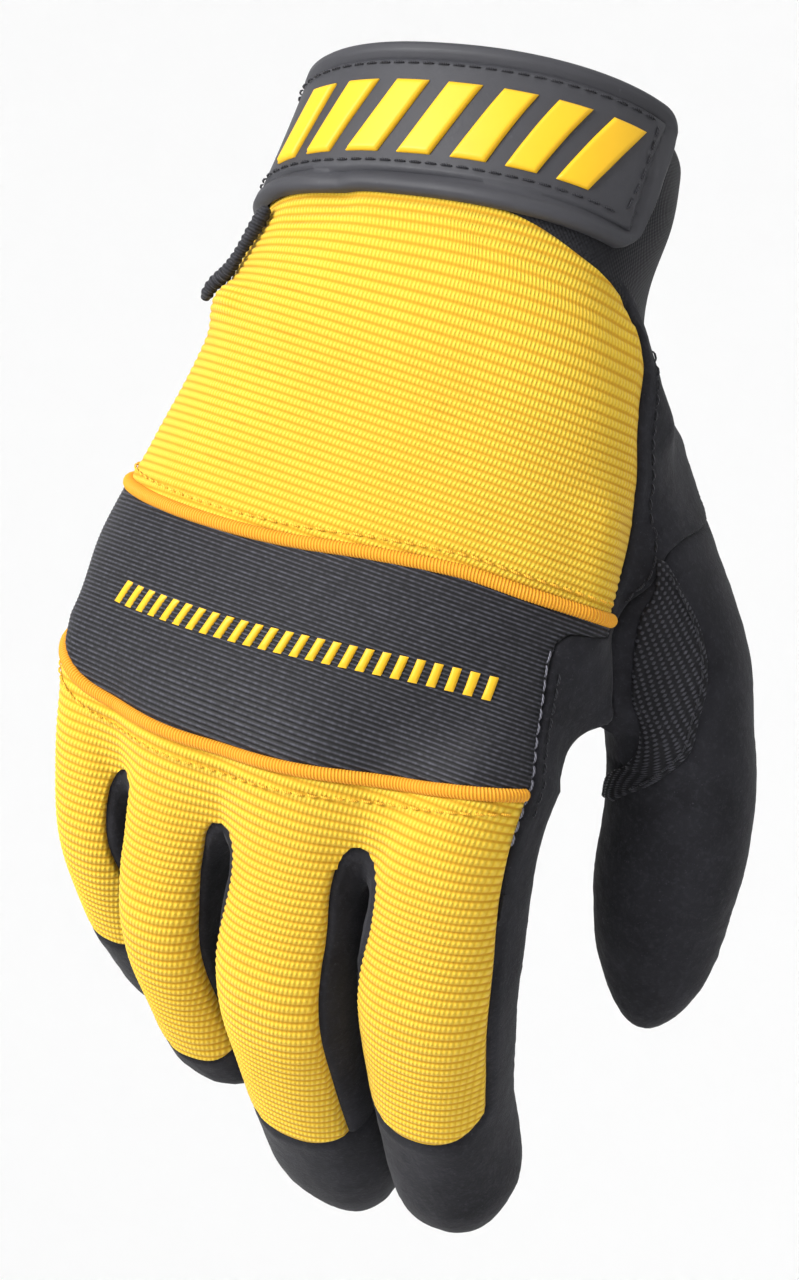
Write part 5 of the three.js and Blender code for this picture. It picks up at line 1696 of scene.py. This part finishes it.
# Rows of stitches: where each starts and ends, and how far it keeps from its seam
FIRST_STITCH = LITTLE_SEAM + 0.06
UPPER_ROW = {"end": 1.575, "away": 1.6, "lift": 0.05}
LOWER_ROW = {"end": 1.28, "away": 1.9, "lift": 0.05}
GREY_ROW = {"from": 91, "to": 127, "away": -0.022, "lift": 0.0}
SIDE_ROWS = ({"seam": side_left, "from": 37, "to": 80, "away": 0.04, "points": 100},
             {"seam": band_right, "from": 94, "to": 122, "away": 0.05, "points": 80})
PATCH_ROW = {"above": 2, "below": 3, "away": -5, "lift": 0.7}
TAB_ROW = {"end": 5, "inset": 4.8, "lift": TAB_FACE - 0.05}


class GLOVE_OT_sewing(bpy.types.Operator):
    """Sews the seams with short threads and adds the plain marks on tab and band"""
    bl_idname = "glove.sewing"
    bl_label = "Sewing and marks"

    def execute(self, context):
        radius = sizes().thread / MM
        turn = np.linspace(FIRST_STITCH, UPPER_ROW["end"], 300)
        lines = [seam_line(turn, upper_piping(turn) - PIPING_RADIUS - UPPER_ROW["away"], UPPER_ROW["lift"])]
        turn = np.linspace(FIRST_STITCH, LOWER_ROW["end"], 300)
        lines.append(seam_line(turn, lower_piping(turn) + PIPING_RADIUS + LOWER_ROW["away"],
                               LOWER_ROW["lift"]))
        sewn("yellow_stitches", lines, 2.0, 0.5, radius, "yellow_thread", 0.25)
        s = np.linspace(GREY_ROW["from"], GREY_ROW["to"], 90)
        lines = [seam_line(band_right(s) + GREY_ROW["away"], s, GREY_ROW["lift"])]
        sewn("grey_stitches", lines, 2.2, 0.4, radius, "grey_thread")
        lines = []
        for row in SIDE_ROWS:
            s = np.linspace(row["from"], row["to"], row["points"])
            lines.append(seam_line(row["seam"](s) + row["away"], s))
        z = np.linspace(PATCH["z"][-1] - PATCH_ROW["above"], PATCH["z"][0] + PATCH_ROW["below"], 90)
        at, _ = thumb_point(np.radians(patch_right(z) + PATCH_ROW["away"]), z)
        lines.append(raised_line(Skin(at[None], None, thumb_field), PATCH_ROW["lift"]))
        sewn("black_stitches", lines, 2.2, 0.5, radius, "black_thread")
        end, inset, lift = TAB_ROW["end"], TAB_ROW["inset"], TAB_ROW["lift"]
        across = np.linspace(end, TAB_LENGTH - end, 200)
        down = np.linspace(end, TAB_HEIGHT - end, 60)
        lines = [tab_line(across, y + 0 * across, lift) for y in (inset, TAB_HEIGHT - inset)]
        lines += [tab_line(x + 0 * down, down, lift) for x in (inset, TAB_LENGTH - inset)]
        sewn("tab_stitches", lines, 2.4, 0.7, radius, "black_thread")
        piece = sheet("tab_bars", bar_layers(), BARS["sink"] - TAB_FACE, material("marks"))
        piece = sheet("band_dashes", dash_layers(), DASHES["wall"], material("marks"))
        return {"FINISHED"}


TAB_RIM_COLUMNS = np.array([0.1, 0.25, 0.5])


def tab_relief(edge):
    """The tab's face by its edge distance: a lip, a narrow Gaussian groove and a slightly raised panel."""
    lip = ease(edge / 0.9) * ease((3.0 - edge) / 0.7)
    groove = np.exp(-(((edge - 3.7) / 0.28) ** 2))
    panel = ease((edge - 3.9) / 0.4)
    return TAB_FACE - 0.3 + 0.6 * lip - 0.45 * groove + 0.25 * panel + rolled(edge, 0.9, 0.7)


class GLOVE_OT_tab(bpy.types.Operator):
    """Builds the rubber closing tab with its lip and groove"""
    bl_idname = "glove.tab"
    bl_label = "Closing tab"

    def execute(self, context):
        pitch = step(0.45, 0.9)
        columns = np.concatenate([shares(TAB_LENGTH, pitch) * TAB_LENGTH, TAB_RIM_COLUMNS,
                                  TAB_LENGTH - TAB_RIM_COLUMNS])
        x, v = np.meshgrid(np.unique(columns), shares(TAB_HEIGHT, pitch))
        cut = tab_cut(x)
        y = mix(cut, TAB_HEIGHT - cut, v)
        skin = tab_skin(x, y)
        edge = skin.edge()
        height = tab_relief(edge) + 0.1 * noise(skin.points, 18.0, 31)
        cover("tab_moulding", [(skin, height, cloth_of(skin, y, edge))], -TAB_LIFT, "rubber", "tab_rubber",
              "strap_tab")
        return {"FINISHED"}


PHOTO_HEIGHT = 1280
SENSOR = 36.0
# The view in degrees, millimetres and the photograph's pixels to a millimetre
VIEW = {"azimuth": 28, "roll": 20, "distance": 1000.0, "across": 15.38, "height": -96.68, "scale": 5.4}
# Each light's direction by the camera's right, its up, the way to it and straight up, then its
# distance and size in metres and its power in watts
LIGHTS = {"key": ((-0.85, 0.5, 0.6, 0), 1.0, 0.45, 17), "fill": ((0.9, 0.1, 0.8, 0), 1.4, 1.2, 2),
          "top": ((-0.2, 0, 0.2, 1.0), 1.2, 0.9, 3)}
WORLD_STRENGTH = 1.04
PAPER = (0.97, 0.97, 0.97)
FLOOR = {"flat": 3.0, "bend": 1.2, "wall": 3.0, "level": -0.75, "sides": 96}


def unit(v):
    """A vector at length one."""
    return v / np.linalg.norm(v)


def stand(name, data, right, up, back, at):
    """An object at a point in metres, turned to three directions."""
    made = bpy.data.objects.new(name, data)
    bpy.context.scene.collection.objects.link(made)
    turned = np.eye(4)
    turned[:3, 0], turned[:3, 1], turned[:3, 2], turned[:3, 3] = right, up, back, at
    made.matrix_world = turned.T.tolist()
    return made


class GLOVE_OT_stage(bpy.types.Operator):
    """Adds the pale sweep, the soft studio light and the camera at the photograph's angle"""
    bl_idname = "glove.stage"
    bl_label = "Stage"

    def execute(self, context):
        a, roll = math.radians(VIEW["azimuth"]), math.radians(VIEW["roll"])
        right = np.array([math.cos(a), math.sin(a), 0])
        up = np.array([0, 0, 1.0])
        towards = np.array([math.sin(a), -math.cos(a), 0])
        target = VIEW["across"] * right + VIEW["height"] * up
        camera = bpy.data.cameras.new("camera")
        camera.sensor_fit = "VERTICAL"
        camera.sensor_height = SENSOR
        camera.lens = VIEW["scale"] * VIEW["distance"] * SENSOR / PHOTO_HEIGHT
        camera.clip_end = 20
        x_axis = math.cos(roll) * right + math.sin(roll) * up
        y_axis = -math.sin(roll) * right + math.cos(roll) * up
        eye = (target + towards * VIEW["distance"]) * MM
        context.scene.camera = stand("camera", camera, x_axis, y_axis, towards, eye)
        for name, (parts, distance, size, power) in LIGHTS.items():
            data = bpy.data.lights.new(name, "AREA")
            data.energy, data.size = power, size
            z = unit(sum(part * axis for part, axis in zip(parts, (x_axis, y_axis, towards, up))))
            x = unit(np.cross([0, 0, 1.0], z))
            stand(name, data, x, np.cross(z, x), z, target * MM + z * distance)
        world = bpy.data.worlds.new("studio")
        world.use_nodes = True
        world.node_tree.nodes["Background"].inputs["Color"].default_value = (1, 1, 1, 1)
        world.node_tree.nodes["Background"].inputs["Strength"].default_value = WORLD_STRENGTH
        context.scene.world = world
        context.scene.view_settings.view_transform = "Standard"
        self.sweep()
        return {"FINISHED"}

    def sweep(self):
        """A flat round floor that rises in a quarter circle to a wall: rings of growing radius."""
        flat, bend = FLOOR["flat"], FLOOR["bend"]
        t = np.linspace(0, PI / 2, 12)
        radius = np.concatenate([[0.001, 1.0, 2.0], flat + bend * np.sin(t), [flat + bend]])
        height = np.concatenate([[0, 0, 0], bend * (1 - np.cos(t)), [bend + FLOOR["wall"]]]) + FLOOR["level"]
        angle = np.linspace(0, 2 * PI, FLOOR["sides"], endpoint=False)
        ring = np.stack([radius[:, None] * np.cos(angle), radius[:, None] * np.sin(angle),
                         height[:, None] + 0 * angle], -1)
        mesh = bpy.data.meshes.new("sweep")
        fill(mesh, ring.reshape(-1, 3), *quads(grid_faces(len(radius), FLOOR["sides"], wrap=True)))
        mesh.shade_smooth()
        paper = Finish("pale_paper")
        paper.set(Base_Color=PAPER, Roughness=0.9, Specular_IOR_Level=0.1)
        mesh.materials.append(paper.material)
        floor = bpy.data.objects.new("sweep", mesh)
        bpy.context.scene.collection.objects.link(floor)


class GLOVE_PT_panel(bpy.types.Panel):
    """Lists the glove's sizes and its operators"""
    bl_idname = "GLOVE_PT_panel"
    bl_label = "Glove"
    bl_space_type = "VIEW_3D"
    bl_region_type = "UI"
    bl_category = "Glove"

    def draw(self, context):
        for key in GloveSizes.__annotations__:
            self.layout.prop(context.scene.glove_sizes, key)
        for operator in OPERATORS:
            self.layout.operator(operator.bl_idname)


OPERATORS = (GLOVE_OT_stage, GLOVE_OT_stretch, GLOVE_OT_band, GLOVE_OT_suede, GLOVE_OT_thumb, GLOVE_OT_cuff,
             GLOVE_OT_tab, GLOVE_OT_sewing)
CLASSES = (GloveSizes, *OPERATORS, GLOVE_PT_panel)


def register():
    for item in CLASSES:
        bpy.utils.register_class(item)
    bpy.types.Scene.glove_sizes = bpy.props.PointerProperty(type=GloveSizes)


def unregister():
    del bpy.types.Scene.glove_sizes
    for item in reversed(CLASSES):
        bpy.utils.unregister_class(item)


def main():
    register()
    bpy.ops.glove.stage()
    bpy.ops.glove.stretch()
    bpy.ops.glove.band()
    bpy.ops.glove.suede()
    bpy.ops.glove.thumb()
    bpy.ops.glove.cuff()
    bpy.ops.glove.tab()
    bpy.ops.glove.sewing()


if __name__ == "__main__":
    main()
